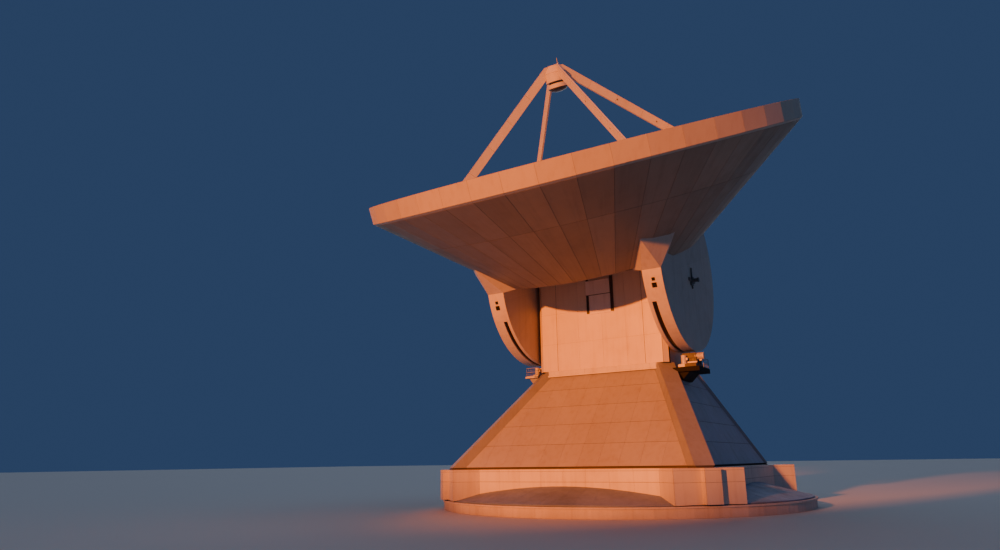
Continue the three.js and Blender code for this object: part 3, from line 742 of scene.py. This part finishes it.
for side, way_x in (("left", -1), ("right", 1)):
    port_parts = []
    for angle, size in zip(port_angles, port_sizes):
        spot = axle @ Matrix.Rotation(math.radians(angle), 4, "X")
        skin = -wheel_radius
        left, right = port_centre * way_x - size, port_centre * way_x + size
        out_left, out_right = left - port_rim, right + port_rim
        frame_bars = [
            block((out_left, skin - sill_reach, -size - port_rim), (out_right, skin, -size)),
            block((out_left, skin - hood_reach, size), (out_right, skin, size + port_rim)),
            block((out_left, skin - cheek_reach, -size), (left, skin, size)),
            block((right, skin - cheek_reach, -size), (out_right, skin, size)),
            block((left, skin - 0.012, -size), (right, skin + 0.02, size)),
        ]
        for bar in frame_bars:
            bar.data.transform(spot)
        port_parts += frame_bars
    ports = joined("band_ports_" + side, port_parts)
    fitted(ports, "reflector", "dark_steel", black_coat_and_shade)

    face = disc_face * way_x
    arm_face = face + arm_thickness * way_x
    stub_end = face + stub_length * way_x
    arms = []
    for near, far, low, high in bracket_arms:
        inner, outer = sorted((face - 0.02 * way_x, arm_face))
        arms.append(block((inner, near, low), (outer, far, high), edge=0.03))
    boss = post((face, 0, 0), (face + boss_thickness * way_x, 0, 0), boss_radius, 24)
    stub = post((face, 0, 0), (stub_end, 0, 0), stub_radius, 24)
    cap = post((face + (stub_length - cap_length) * way_x, 0, 0), (stub_end, 0, 0), cap_radius, 24)
    for turned in (boss, stub, cap):
        applied(turned, "BEVEL", width=0.01, segments=2, limit_method="ANGLE")
    inner, outer = sorted((face, face + foot_thickness * way_x))
    foot = block((inner, foot_near, foot_low), (outer, foot_far, foot_high), edge=0.03)
    heads = [bolt((arm_face, y, z), (way_x, 0, 0), 0.03) for y, z in bracket_bolts]
    bracket = joined("hub_bracket_" + side, arms + [boss, stub, cap, foot] + heads)
    bracket.data.transform(Matrix.Translation(at(0, bracket_y, bracket_z)))
    fitted(bracket, "reflector", "dark_steel", bracket_paint)


# Drives
# Each drive stands on a steel platform that cantilevers from the pyramid's deck under the wheel.
# The gear case has a bolted split flange; the motors have fins, bolted covers and a terminal box.
deck_top = 14.752
frame_top = 15.1
frame_left, frame_middle, frame_right = 9.0, 9.75, 11.0
frame_front, frame_step, frame_back = -4.0, -3.3, -1.2
saddle_low, saddle_high = (9.86, -3.52, 15.2), (10.98, -3.38, 15.38)
case_foot, case_head = 15.05, 16.35
case_split = 15.78
case_near, case_far = (9.3, -3.4), (10.9, -1.5)
rib_foot = 15.12
flange_lap, flange_half = 0.07, 0.05
fin_reach, fin_thickness = 0.035, 0.022
cover_edge = 0.03
motor_bolts = (0.4, 1.2, 2.0, 2.8, 3.5, 4.3, 5.1, 5.9)
lying_place, lying_radius, lying_length = at(10.75, -3.0, 15.95), 0.36, 0.9
standing_place, standing_radius, standing_length = at(9.6, -3.7, frame_top), 0.28, 0.95
left_place, left_radius, left_length = at(-9.27, -2.8, 15.45), 0.28, 0.85

drive_paint = weathered(
    "pale_machine_paint", (0.68, 0.63, 0.58), (0.25, 0.19, 0.15), rough=0.42, speckle=0.15, tone=0.04,
    ripple=0.0008)
# The gear case is near-black: a dark case, darkened further by painted shade.
case_shade_coat = weathered(
    "gear_case_shade_coat", (0.062, 0.058, 0.062), (0.10, 0.075, 0.062), stain=0.5, run=0.5,
    speckle=0.3, tone=0.05, ripple=0.0008)
# The right platform and its bracket are near-black with little gloss: painted shade under the wheel. The
# left platform takes the legs' shaded coat, so it merges with the leg.
painted_nodes(black_coat_and_shade, "drive_platform_right")
painted_nodes(leg_coat_and_shade, "drive_platform_left")
painted_nodes(drive_paint, "drive_gearbox_left")


def finned(name, place, radius, long, fins=9):
    """A motor's core, cooling fins and end covers, round its own axis from its foot upwards."""
    parts = [post((0, 0, 0), (0, 0, long), radius - 0.005, 32)]
    root, crest = radius - 0.02, radius + fin_reach
    for step in range(fins):
        low = long * (0.2 + 0.6 * step / (fins - 1))
        high = low + fin_thickness
        parts.append(spun(name + "_fin", [(root, low), (crest, low), (crest, high), (root, high)], steps=40))
    for low, high, wide in ((0.0, 0.07, 0.06), (long - 0.06, long + 0.012, 0.03)):
        rim = radius + wide
        section = [(0.02, low), (rim, low), (rim, high - 0.02), (rim - cover_edge, high), (0.02, high)]
        parts.append(spun(name + "_cover", section, steps=40))
    circle = radius + 0.03
    parts += [bolt((circle * math.cos(turn), circle * math.sin(turn), 0.07), (0, 0, 1), 0.012)
              for turn in motor_bolts]
    parts.append(block((radius - 0.02, -0.14, long * 0.42), (radius + 0.17, 0.14, long * 0.72), edge=0.02))
    piece = joined(name, parts)
    piece.data.transform(place)
    return piece


def gear_case(name, low, high, split):
    """A gear case on its frame, with its split flange, its ribs and its row of bolts."""
    (x0, y0), (x1, y1) = low, high
    under, over = split - flange_half, split + flange_half
    parts = [
        block((frame_middle, frame_front, deck_top), (frame_right, frame_back, frame_top), edge=0.02),
        block((frame_left, frame_step, deck_top), (frame_middle, frame_back, frame_top), edge=0.02),
        block((x0, y0, case_foot), (x1, y1, case_head), edge=0.04),
        block((x0 - flange_lap, y0 - flange_lap, under), (x1 + flange_lap, y1 + flange_lap, over),
              edge=0.015),
    ]
    for step in range(5):
        y = y0 + (y1 - y0) * (step + 0.5) / 5
        for x, outwards in ((x0, -1), (x1, 1)):
            parts.append(block((x - 0.045, y - 0.025, rib_foot), (x + 0.045, y + 0.025, under)))
            parts.append(bolt((x + 0.035 * outwards, y + 0.1, over), (0, 0, 1), 0.014))
    for step in range(4):
        x = x0 + (x1 - x0) * (step + 0.5) / 4
        for y in (y0, y1):
            parts.append(block((x - 0.025, y - 0.045, rib_foot), (x + 0.025, y + 0.045, under)))
    return joined(name, parts)


right_case = gear_case("gear_case_right", case_near, case_far, case_split)
fitted(right_case, "alidade", "shaded_cladding", case_shade_coat, "drive_gearbox_right")
lying = Matrix.Translation(lying_place) @ Matrix.Rotation(math.radians(90), 4, "Y")
standing = Matrix.Translation(standing_place)
right_motors = joined("drive_motors_right", [
    finned("lying_motor", lying, lying_radius, lying_length),
    finned("standing_motor", standing, standing_radius, standing_length, 8),
    block((frame_left, frame_front, deck_top), (frame_middle, frame_step, frame_top), edge=0.02),
    block(saddle_low, saddle_high, edge=0.02),
])
fitted(right_motors, "alidade", "shaded_cladding", drive_paint)
left_motor = finned(
    "drive_fittings_left", Matrix.Translation(left_place), left_radius, left_length, 8)
fitted(left_motor, "alidade", "shaded_cladding", drive_paint)


# Platform rails
# Guard rails of painted tube stand round the open edges of both platforms, with a kick plate and
# wire mesh below the top rail; strips of plate lie along the edges of the decks.
guard_height, middle_rail = 1.05, 0.55
post_pitch = 1.3
post_radius, rail_radius = 0.028, 0.024
pad_half, pad_thickness = 0.07, 0.03
kick_foot, kick_head, kick_half = 0.02, 0.12, 0.008
mesh_pitch = 0.24
wire_radius = 0.006
wire_rises = (0.32, 0.76)
left_deck, right_deck = 15.1, 14.75
left_corners = [(-8.75, -4.2), (-10.0, -4.2), (-10.0, -0.4), (-8.75, -0.4)]
right_corners = [(11.3, -2.3), (11.3, -0.4), (8.9, -0.4)]
edge_foot, edge_head = 14.92, 15.13
edge_bars = (((-10.13, -4.33), (-8.85, -4.28)), ((-10.13, -4.28), (-10.10, -0.32)))
plate_thickness = 0.02
plate_spots = (
    (8.75, 11.32, -1.1, -0.45, right_deck), (11.08, 11.32, -4.2, -1.18, right_deck),
    (-10.02, -8.75, -4.2, -3.7, left_deck), (-10.02, -8.75, -0.55, -0.4, left_deck))

rail_paint = weathered(
    "rail_paint", (0.42, 0.42, 0.42), (0.22, 0.17, 0.14), rough=0.45, stain=0.4, speckle=0.2,
    ripple=0.0004)


def guard(name, corners, deck):
    """Posts, two rails, a kick plate and wire mesh along a line of corners."""
    parts = []
    for (x0, y0), (x1, y1) in zip(corners, corners[1:]):
        start, end = Vector((x0, y0)), Vector((x1, y1))
        bays = max(1, round((end - start).length / post_pitch))
        for step in range(bays + 1):
            x, y = start.lerp(end, step / bays)
            parts.append(post((x, y, deck), (x, y, deck + guard_height), post_radius, 10))
            parts.append(block((x - pad_half, y - pad_half, deck),
                               (x + pad_half, y + pad_half, deck + pad_thickness)))
        for rise in (middle_rail, guard_height):
            parts.append(post((*start, deck + rise), (*end, deck + rise), rail_radius, 10))
        low = (min(x0, x1) - kick_half, min(y0, y1) - kick_half, deck + kick_foot)
        high = (max(x0, x1) + kick_half, max(y0, y1) + kick_half, deck + kick_head)
        parts.append(block(low, high, edge=0.004))
        wires = int((end - start).length / mesh_pitch)
        for step in range(1, wires):
            x, y = start.lerp(end, step / wires)
            parts.append(post((x, y, deck + kick_head), (x, y, deck + guard_height), wire_radius, 4))
        for rise in wire_rises:
            parts.append(post((*start, deck + rise), (*end, deck + rise), wire_radius, 4))
    return joined(name, parts)


left_guard = guard("guard_rail_left", left_corners, left_deck)
fitted(left_guard, "alidade", "steel", rail_paint)
left_edge = joined("platform_edge_left", [
    block((*near, edge_foot), (*far, edge_head)) for near, far in edge_bars])
fitted(left_edge, "alidade", "shaded_cladding", drive_paint)
right_guard = guard("guard_rail_right", right_corners, right_deck)
fitted(right_guard, "alidade", "steel", rail_paint)

plates = [block((x0, y0, top), (x1, y1, top + plate_thickness), edge=0.006)
          for x0, x1, y0, y1, top in plate_spots]
decks = joined("deck_plates", plates)
fitted(decks, "alidade", "dark_steel", black_coat_and_shade)


# Dish back
# The back of the dish is closed by flat panels in two rings of forty-eight, with open joints, and
# a band of short panels stands round the rim.
tilt = math.radians(25.6)
back_joint, rim_joint = 0.045, 0.014
hub_sectors = 24
dish = axle @ Matrix.Rotation(tilt, 4, "X")
undish = dish.inverted()


def round_dish(tree, place):
    """Coordinates drawn out along the dish's radii, for dirt that runs from the hub to the rim."""
    local = shade(tree, "VectorMath", {0: place, 1: tuple(axle_point)}, operation="SUBTRACT").outputs[0]
    local = shade(tree, "VectorRotate", {"Vector": local, "Angle": -tilt},
                  rotation_type="X_AXIS").outputs[0]
    parts = shade(tree, "SeparateXYZ", {0: local}).outputs
    flat = shade(tree, "CombineXYZ", {0: parts[0], 1: parts[1]}).outputs[0]
    radius = shade(tree, "VectorMath", {0: flat}, operation="LENGTH").outputs["Value"]
    way = shade(tree, "VectorMath", {0: flat}, operation="NORMALIZE").outputs[0]
    wide = shade(tree, "VectorMath", {0: way, "Scale": 34.0}, operation="SCALE").outputs[0]
    out = shade(tree, "SeparateXYZ", {0: wide}).outputs
    long = sums(tree, "MULTIPLY", radius, 0.3)
    return shade(tree, "CombineXYZ", {0: out[0], 1: out[1], 2: long}).outputs[0]


# The back panels are a dark brown-grey, though the cladding is white: painted shade on the dish's underside.
back_shade_coat = weathered(
    "dish_back_shade_coat", (0.28, 0.225, 0.175), (0.175, 0.135, 0.105), run=0.35, speckle=0.05, tone=0.12,
    ripple=0.004, flow=round_dish)
# The rim's white is dimmer than the house's: painted shade on the downward-tilted rim band.
rim_coat_and_shade = weathered(
    "rim_coat_and_shade", (0.49, 0.43, 0.365), (0.31, 0.24, 0.19), rough=0.45, stain=0.25, speckle=0.05,
    tone=0.03)
back_seal = weathered(
    "pale_joint_seal", (0.16, 0.135, 0.11), (0.11, 0.09, 0.07), rough=0.8, ripple=0.001)
painted_nodes(back_seal, "back_cladding_outer", "back_cladding_inner", "dish_hub_plate", "rim_band")


def outer_back(middle, way):
    """True on the side of the back cladding that faces away from the bowl."""
    return (undish.to_3x3() @ way).z < -0.5


def spokes(count):
    """Seam planes along the dish's radii."""
    return [(axle_point, dish.to_3x3() @ turn.to_3x3() @ Vector((0, 1, 0)))
            for turn in turns(count // 2, sweep=180.0)]


for part in ("outer", "inner"):
    sheets("back_panels_" + part, "back_cladding_" + part, outer_back, [([], back_joint)],
           "reflector", "cladding", back_shade_coat, proud=0.02)
sheets("hub_panels", "dish_hub_plate", outer_back, [(spokes(hub_sectors), back_joint)],
       "reflector", "shaded_cladding", back_shade_coat, proud=0.02)
sheets("rim_panels", "rim_band", lambda middle, way: True, [([], rim_joint)],
       "reflector", "cladding", rim_coat_and_shade, proud=0.012)


# Bowl
# The reflecting surface is made of 180 ground aluminium panels in five rings of 12, 24, 48, 48 and
# 48, each on its own adjusters, with open joints over a dark backing shell.
ring_edges = [1.24, 5.9, 10.6, 15.3, 20.0, 24.72]
ring_counts = [12, 24, 48, 48, 48]
ring_steps = 4
bowl_depth = 6.27
focal_length = 17.5
panel_joint = 0.03
panel_thickness = 0.09
backing_drop, backing_thickness = 0.16, 0.06

panel_metal = weathered(
    "ground_aluminium", (0.72, 0.72, 0.71), (0.5, 0.49, 0.47), rough=0.36, metal=0.92, stain=0.2,
    run=0.1, speckle=0.05, tone=0.05, ripple=0.0005, flow=round_dish)


def bowl_height(radius):
    """Height of the parabola above the elevation axis, along the dish's own axis."""
    return bowl_depth + radius * radius / (4 * focal_length)


def bowl_shell(name, drop):
    """The parabola as an open shell, spun from its section, at a drop below the true surface."""
    radii = [ring_edges[0]]
    for inner, outer in zip(ring_edges, ring_edges[1:]):
        radii += [inner + (outer - inner) * step / ring_steps for step in range(1, ring_steps + 1)]
    bpy.ops.mesh.primitive_grid_add(x_subdivisions=len(radii) - 1, y_subdivisions=1, size=1)
    piece = bpy.context.object
    piece.name = name
    order = sorted(piece.data.vertices, key=lambda corner: (round(corner.co.x, 5), corner.co.y))
    for place, corner in enumerate(order):
        radius = radii[place // 2]
        corner.co = at(radius, 0, bowl_height(radius) - drop)
    whole()
    bpy.ops.mesh.remove_doubles(threshold=0.0001)
    bpy.ops.mesh.spin(steps=96, angle=math.radians(360), center=(0, 0, 0), axis=(0, 0, 1))
    whole()
    bpy.ops.mesh.remove_doubles(threshold=0.0001)
    bpy.ops.mesh.normals_make_consistent(inside=False)
    closed()
    if piece.data.polygons[0].normal.z < 0:
        whole()
        bpy.ops.mesh.flip_normals()
        closed()
    return piece


def ring_at(radius):
    """The ring of panels that a radius lies in, and the degrees that one of its panels spans."""
    ring = next(place for place, edge in enumerate(ring_edges[1:]) if radius < edge)
    return ring, 360 / ring_counts[ring]


def on_joint(first, second):
    """True for an edge of the bowl that lies on a joint between two panels."""
    radii = [first.xy.length / half, second.xy.length / half]
    if abs(radii[0] - radii[1]) < 0.01:
        return any(abs(radii[0] - edge) < 0.01 for edge in ring_edges[1:-1])
    step = math.degrees(math.atan2(first.y, first.x)) / ring_at(sum(radii) / 2)[1]
    return abs(step - round(step)) < 0.02


def panel_at(face):
    """The panel that a face of the bowl lies in, as its ring and its place round the ring."""
    ring, span = ring_at(face.center.xy.length / half)
    return ring, math.floor(math.degrees(math.atan2(face.center.y, face.center.x)) % 360 / span)


mirror = bowl_shell("mirror_panels", 0.0)
only(mirror)
choose(mirror.data.edges, "EDGE",
       lambda edge: on_joint(*(mirror.data.vertices[end].co for end in edge.vertices)))
bpy.ops.mesh.edge_split(type="EDGE")
bpy.ops.mesh.select_mode(type="FACE")
whole()
bpy.ops.mesh.inset(thickness=panel_joint * half / 2, use_boundary=True, use_individual=False)
cleared()
closed()
tone = mirror.data.attributes.new("tone", "FLOAT", "FACE")
panel_tones = {}
for face in sorted(mirror.data.polygons, key=panel_at):
    tone.data[face.index].value = panel_tones.setdefault(panel_at(face), dice.uniform(-1.0, 1.0))
applied(mirror, "SOLIDIFY", thickness=panel_thickness * half, offset=-1.0)
bpy.ops.object.shade_smooth_by_angle(angle=math.radians(20))
mirror.data.transform(dish)
fitted(mirror, "reflector", "mirror_panels", panel_metal, "dish_surface")

backing = bowl_shell("bowl_backing", backing_drop)
applied(backing, "SOLIDIFY", thickness=backing_thickness * half, offset=-1.0)
backing.data.transform(dish)
fitted(backing, "reflector", "dark_steel", seal_and_gap_shade)


# Vertex port
# A flanged round housing stands in the middle of the bowl. A thin translucent membrane closes it,
# under a bolted clamping ring.
clamp_section = [(0.96, 6.60), (1.17, 6.60), (1.17, 6.66), (0.99, 6.69)]
membrane_section = [(0.01, 6.61), (0.97, 6.61), (0.97, 6.645), (0.01, 6.655)]
clamp_circle, clamp_face = 1.08, 6.67
clamp_bolt, clamp_count = 0.016, 24

port_paint = weathered(
    "dull_white_paint", (0.60, 0.52, 0.46), (0.30, 0.24, 0.20), rough=0.6, stain=0.35, run=0.35,
    speckle=0.08, tone=0.04, grain=0.0003)
membrane_paint = weathered(
    "stretched_membrane", (0.62, 0.60, 0.55), (0.45, 0.41, 0.36), rough=0.3, run=0.2, ripple=0.002)
painted_nodes(port_paint, "vertex_port")
clamp = spun("port_clamp", clamp_section, steps=64)
membrane = spun("port_membrane", membrane_section, steps=64, place=dish)
clamp_head = bolt((clamp_circle, 0, clamp_face), (0, 0, 1), clamp_bolt)
clamp_bolts = repeated("clamp_bolts", clamp_head, turns(clamp_count))
clamp_ring = joined("port_clamp_ring", [clamp, clamp_bolts])
clamp_ring.data.transform(dish)
fitted(clamp_ring, "reflector", "steel", machined)
fitted(membrane, "reflector", "shaded_cladding", membrane_paint)


# Tetrapod
# Four flat blades of welded sheet rise from bolted shoes on the bowl to the apex. Each has a few
# round inspection ports in one face, closed by dark plugs.
foot_radius, foot_height = 18.53, 11.175
head_radius, head_height = 1.06, 25.37
blade_seams, blade_joint = 6, 0.02
blade_face = 0.112
port_places = (3.3, 9.1, 14.9)
shoe_foot, shoe_top = 0.10, 0.20
shoe_wide, shoe_long = 0.30, 0.68
shoe_bolts = [(x, y) for x in (-0.21, 0.21) for y in (-0.56, -0.28, 0, 0.28, 0.56)]
shoe_bolt = 0.018
port_ring = [(0.09, 0.0), (0.14, 0.0), (0.14, 0.022), (0.11, 0.03), (0.09, 0.022)]
port_plug = [(0.005, 0.0), (0.095, 0.0), (0.095, 0.012), (0.005, 0.014)]
leg_turns = {"front_right": 45, "back_right": 135, "back_left": -135, "front_left": -45}

leg_white = weathered(
    "tetrapod_paint", (0.62, 0.575, 0.545), (0.38, 0.31, 0.27), rough=0.45, stain=0.2, run=0.25,
    speckle=0.05, tone=0.03, ripple=0.0015)

foot_point = Vector((0, -foot_radius, foot_height))
blade_way = Vector((0, foot_radius - head_radius, head_height - foot_height))
blade_length = blade_way.length
blade_way.normalize()
blade_place = Matrix.Translation(foot_point * half) @ Matrix((
    (1, 0, 0, 0),
    (0, blade_way.z, blade_way.y, 0),
    (0, -blade_way.y, blade_way.z, 0),
    (0, 0, 0, 1)))
for corner, turn in leg_turns.items():
    name = "tetrapod_leg_" + corner
    painted_nodes(seal_and_gap_shade, name)
    place = dish @ Matrix.Rotation(math.radians(turn), 4, "Z") @ blade_place
    along = place.to_3x3() @ Vector((0, 0, 1))
    seams = [(place @ (Vector((0, 0, blade_length * step / blade_seams)) * half), along)
             for step in range(1, blade_seams)]
    sheets("blade_plates_" + corner, name, lambda middle, way: True, [(seams, blade_joint)],
           "reflector", "cladding", leg_white, proud=0.012)
    shoe_parts = [block((-shoe_wide, -shoe_long, shoe_foot), (shoe_wide, shoe_long, shoe_top), edge=0.02)]
    shoe_parts += [bolt((x, y, shoe_top), (0, 0, 1), shoe_bolt) for x, y in shoe_bolts]
    ring = spun("port_ring", port_ring, steps=20)
    plug = spun("port_plug", port_plug, steps=20)
    spots = [Matrix.Translation(at(-blade_face, 0, height)) @ Matrix.Rotation(math.radians(-90), 4, "Y")
             for height in port_places]
    rings = repeated("blade_port_rings_" + corner, ring, [place @ spot for spot in spots])
    fitted(rings, "reflector", "cladding", leg_white)
    plugs = repeated("blade_port_plugs_" + corner, plug, [place @ spot for spot in spots])
    fitted(plugs, "reflector", "dark_steel", dark_steel_and_gap_shade)
    shoe = joined("blade_shoe_" + corner, shoe_parts)
    shoe.data.transform(place)
    fitted(shoe, "reflector", "steel", leg_white)


# Apex
# The blades meet in a drum with a sloped cap that carries the focusing gear. Under its neck, darkened by
# painted shade, hangs a pale ring that the dark convex subreflector closes, and a rod stands on the cap.
drum_radius, neck_radius, ring_radius = 1.3, 0.95, 1.17
drum_foot, drum_shoulder, cap_top = 24.12, 25.2, 25.95
cap_top_radius = 0.70
ring_foot = 23.42
neck_foot, neck_head = 23.92, 24.11
rod_x, rod_y = 0.45, 0.35
rod_section = [(0.01, 0.0), (0.17, 0.0), (0.17, 0.03), (0.09, 0.06), (0.075, 0.2), (0.01, 0.2)]

painted_nodes(leg_white, "apex_housing", "subreflector_ring")
mirror_dark = weathered(
    "dark_subreflector_skin", (0.05, 0.045, 0.043), (0.08, 0.065, 0.055), rough=0.28, metal=0.5,
    stain=0.2, run=0.1, ripple=0.0003)
painted_nodes(mirror_dark, "subreflector")
painted_nodes(machined, "apex_rod")


def hoop(name, radius, low, high, proud):
    """A flat hoop round a drum."""
    inner, outer = radius - 0.01, radius + proud
    return spun(name, [(inner, low), (outer, low), (outer, high), (inner, high)], steps=72)


trims = [
    hoop("drum_foot_hoop", drum_radius, drum_foot + 0.01, drum_foot + 0.07, 0.02),
    hoop("drum_shoulder_hoop", drum_radius, drum_shoulder - 0.07, drum_shoulder - 0.01, 0.02),
    hoop("cap_hoop", cap_top_radius, cap_top - 0.02, cap_top + 0.04, 0.04),
    hoop("ring_lip", ring_radius, ring_foot, ring_foot + 0.10, 0.025),
]
drum_trims = joined("apex_trims", trims)
drum_trims.data.transform(dish)
fitted(drum_trims, "reflector", "cladding", leg_white)
# The dark band round the neck is painted shade in the slot between drum and ring.
neck_band = hoop("apex_neck_band", neck_radius, neck_foot, neck_head, 0.012)
neck_band.data.transform(dish)
fitted(neck_band, "reflector", "dark_steel", dark_steel_and_gap_shade)
rod_foot = spun("rod_foot", rod_section, steps=24)
rod_foot.data.transform(dish @ Matrix.Translation(at(rod_x, rod_y, cap_top)))
fitted(rod_foot, "reflector", "steel", machined)


# Studio
# A plain pale floor and soft light: a low warm key from the front, as the late sun had it, and weak
# cool fills from above, behind and the right so that every side reads.
floor_width = 1200
floor_drop = 0.003
floor_pale = (0.68, 0.64, 0.585)
low_warm = (1.0, 0.215, 0.008)
cool_blue, cool_white, cool_pale = (0.50, 0.68, 1.0), (0.86, 0.90, 1.0), (0.80, 0.90, 1.0)
soft_angle, broad_angle = math.radians(60), math.radians(70)
dusk_blue, dusk_strength = (0.095, 0.185, 0.42), 0.30

bpy.ops.mesh.primitive_plane_add(size=floor_width, location=(0, 0, -floor_drop))
floor = bpy.context.object
floor.name = "studio_floor"
floor_paint = bpy.data.materials.new("studio_floor_paint")
floor_paint.use_nodes = True
floor_skin = floor_paint.node_tree.nodes["Principled BSDF"]
floor_skin.inputs["Base Color"].default_value = (*floor_pale, 1)
floor_skin.inputs["Roughness"].default_value = 0.9
floor.data.materials.append(floor_paint)


def lamp(name, kind, place, towards, colour, energy, **settings):
    """A light that stands at a point and shines at another."""
    light = bpy.data.lights.new(name, kind)
    light.color = colour
    light.energy = energy
    for setting, value in settings.items():
        setattr(light, setting, value)
    stand = bpy.data.objects.new(name, light)
    bpy.context.collection.objects.link(stand)
    stand.location = place
    stand.rotation_euler = (Vector(towards) - Vector(place)).to_track_quat("-Z", "Y").to_euler()


lamp("low_key", "SPOT", (-8.5, -120, 27.9), (0, -5, 13.0), low_warm, 1.15e6,
     shadow_soft_size=2.0, spot_size=math.radians(14.6), spot_blend=0.12)
lamp("side_fill", "SUN", (60, 10, 30), (0, 0, 8), cool_blue, 0.03, angle=soft_angle)
lamp("back_fill", "SUN", (-50, 90, 48), (0, 0, 8), cool_white, 0.42, angle=soft_angle)
lamp("overhead", "SUN", (0, 0, 60), (0, 4, 0), cool_pale, 0.24, angle=broad_angle)
world = bpy.data.worlds.new("studio_air")
world.use_nodes = True
world.node_tree.nodes["Background"].inputs["Color"].default_value = (*dusk_blue, 1)
world.node_tree.nodes["Background"].inputs["Strength"].default_value = dusk_strength
bpy.context.scene.world = world
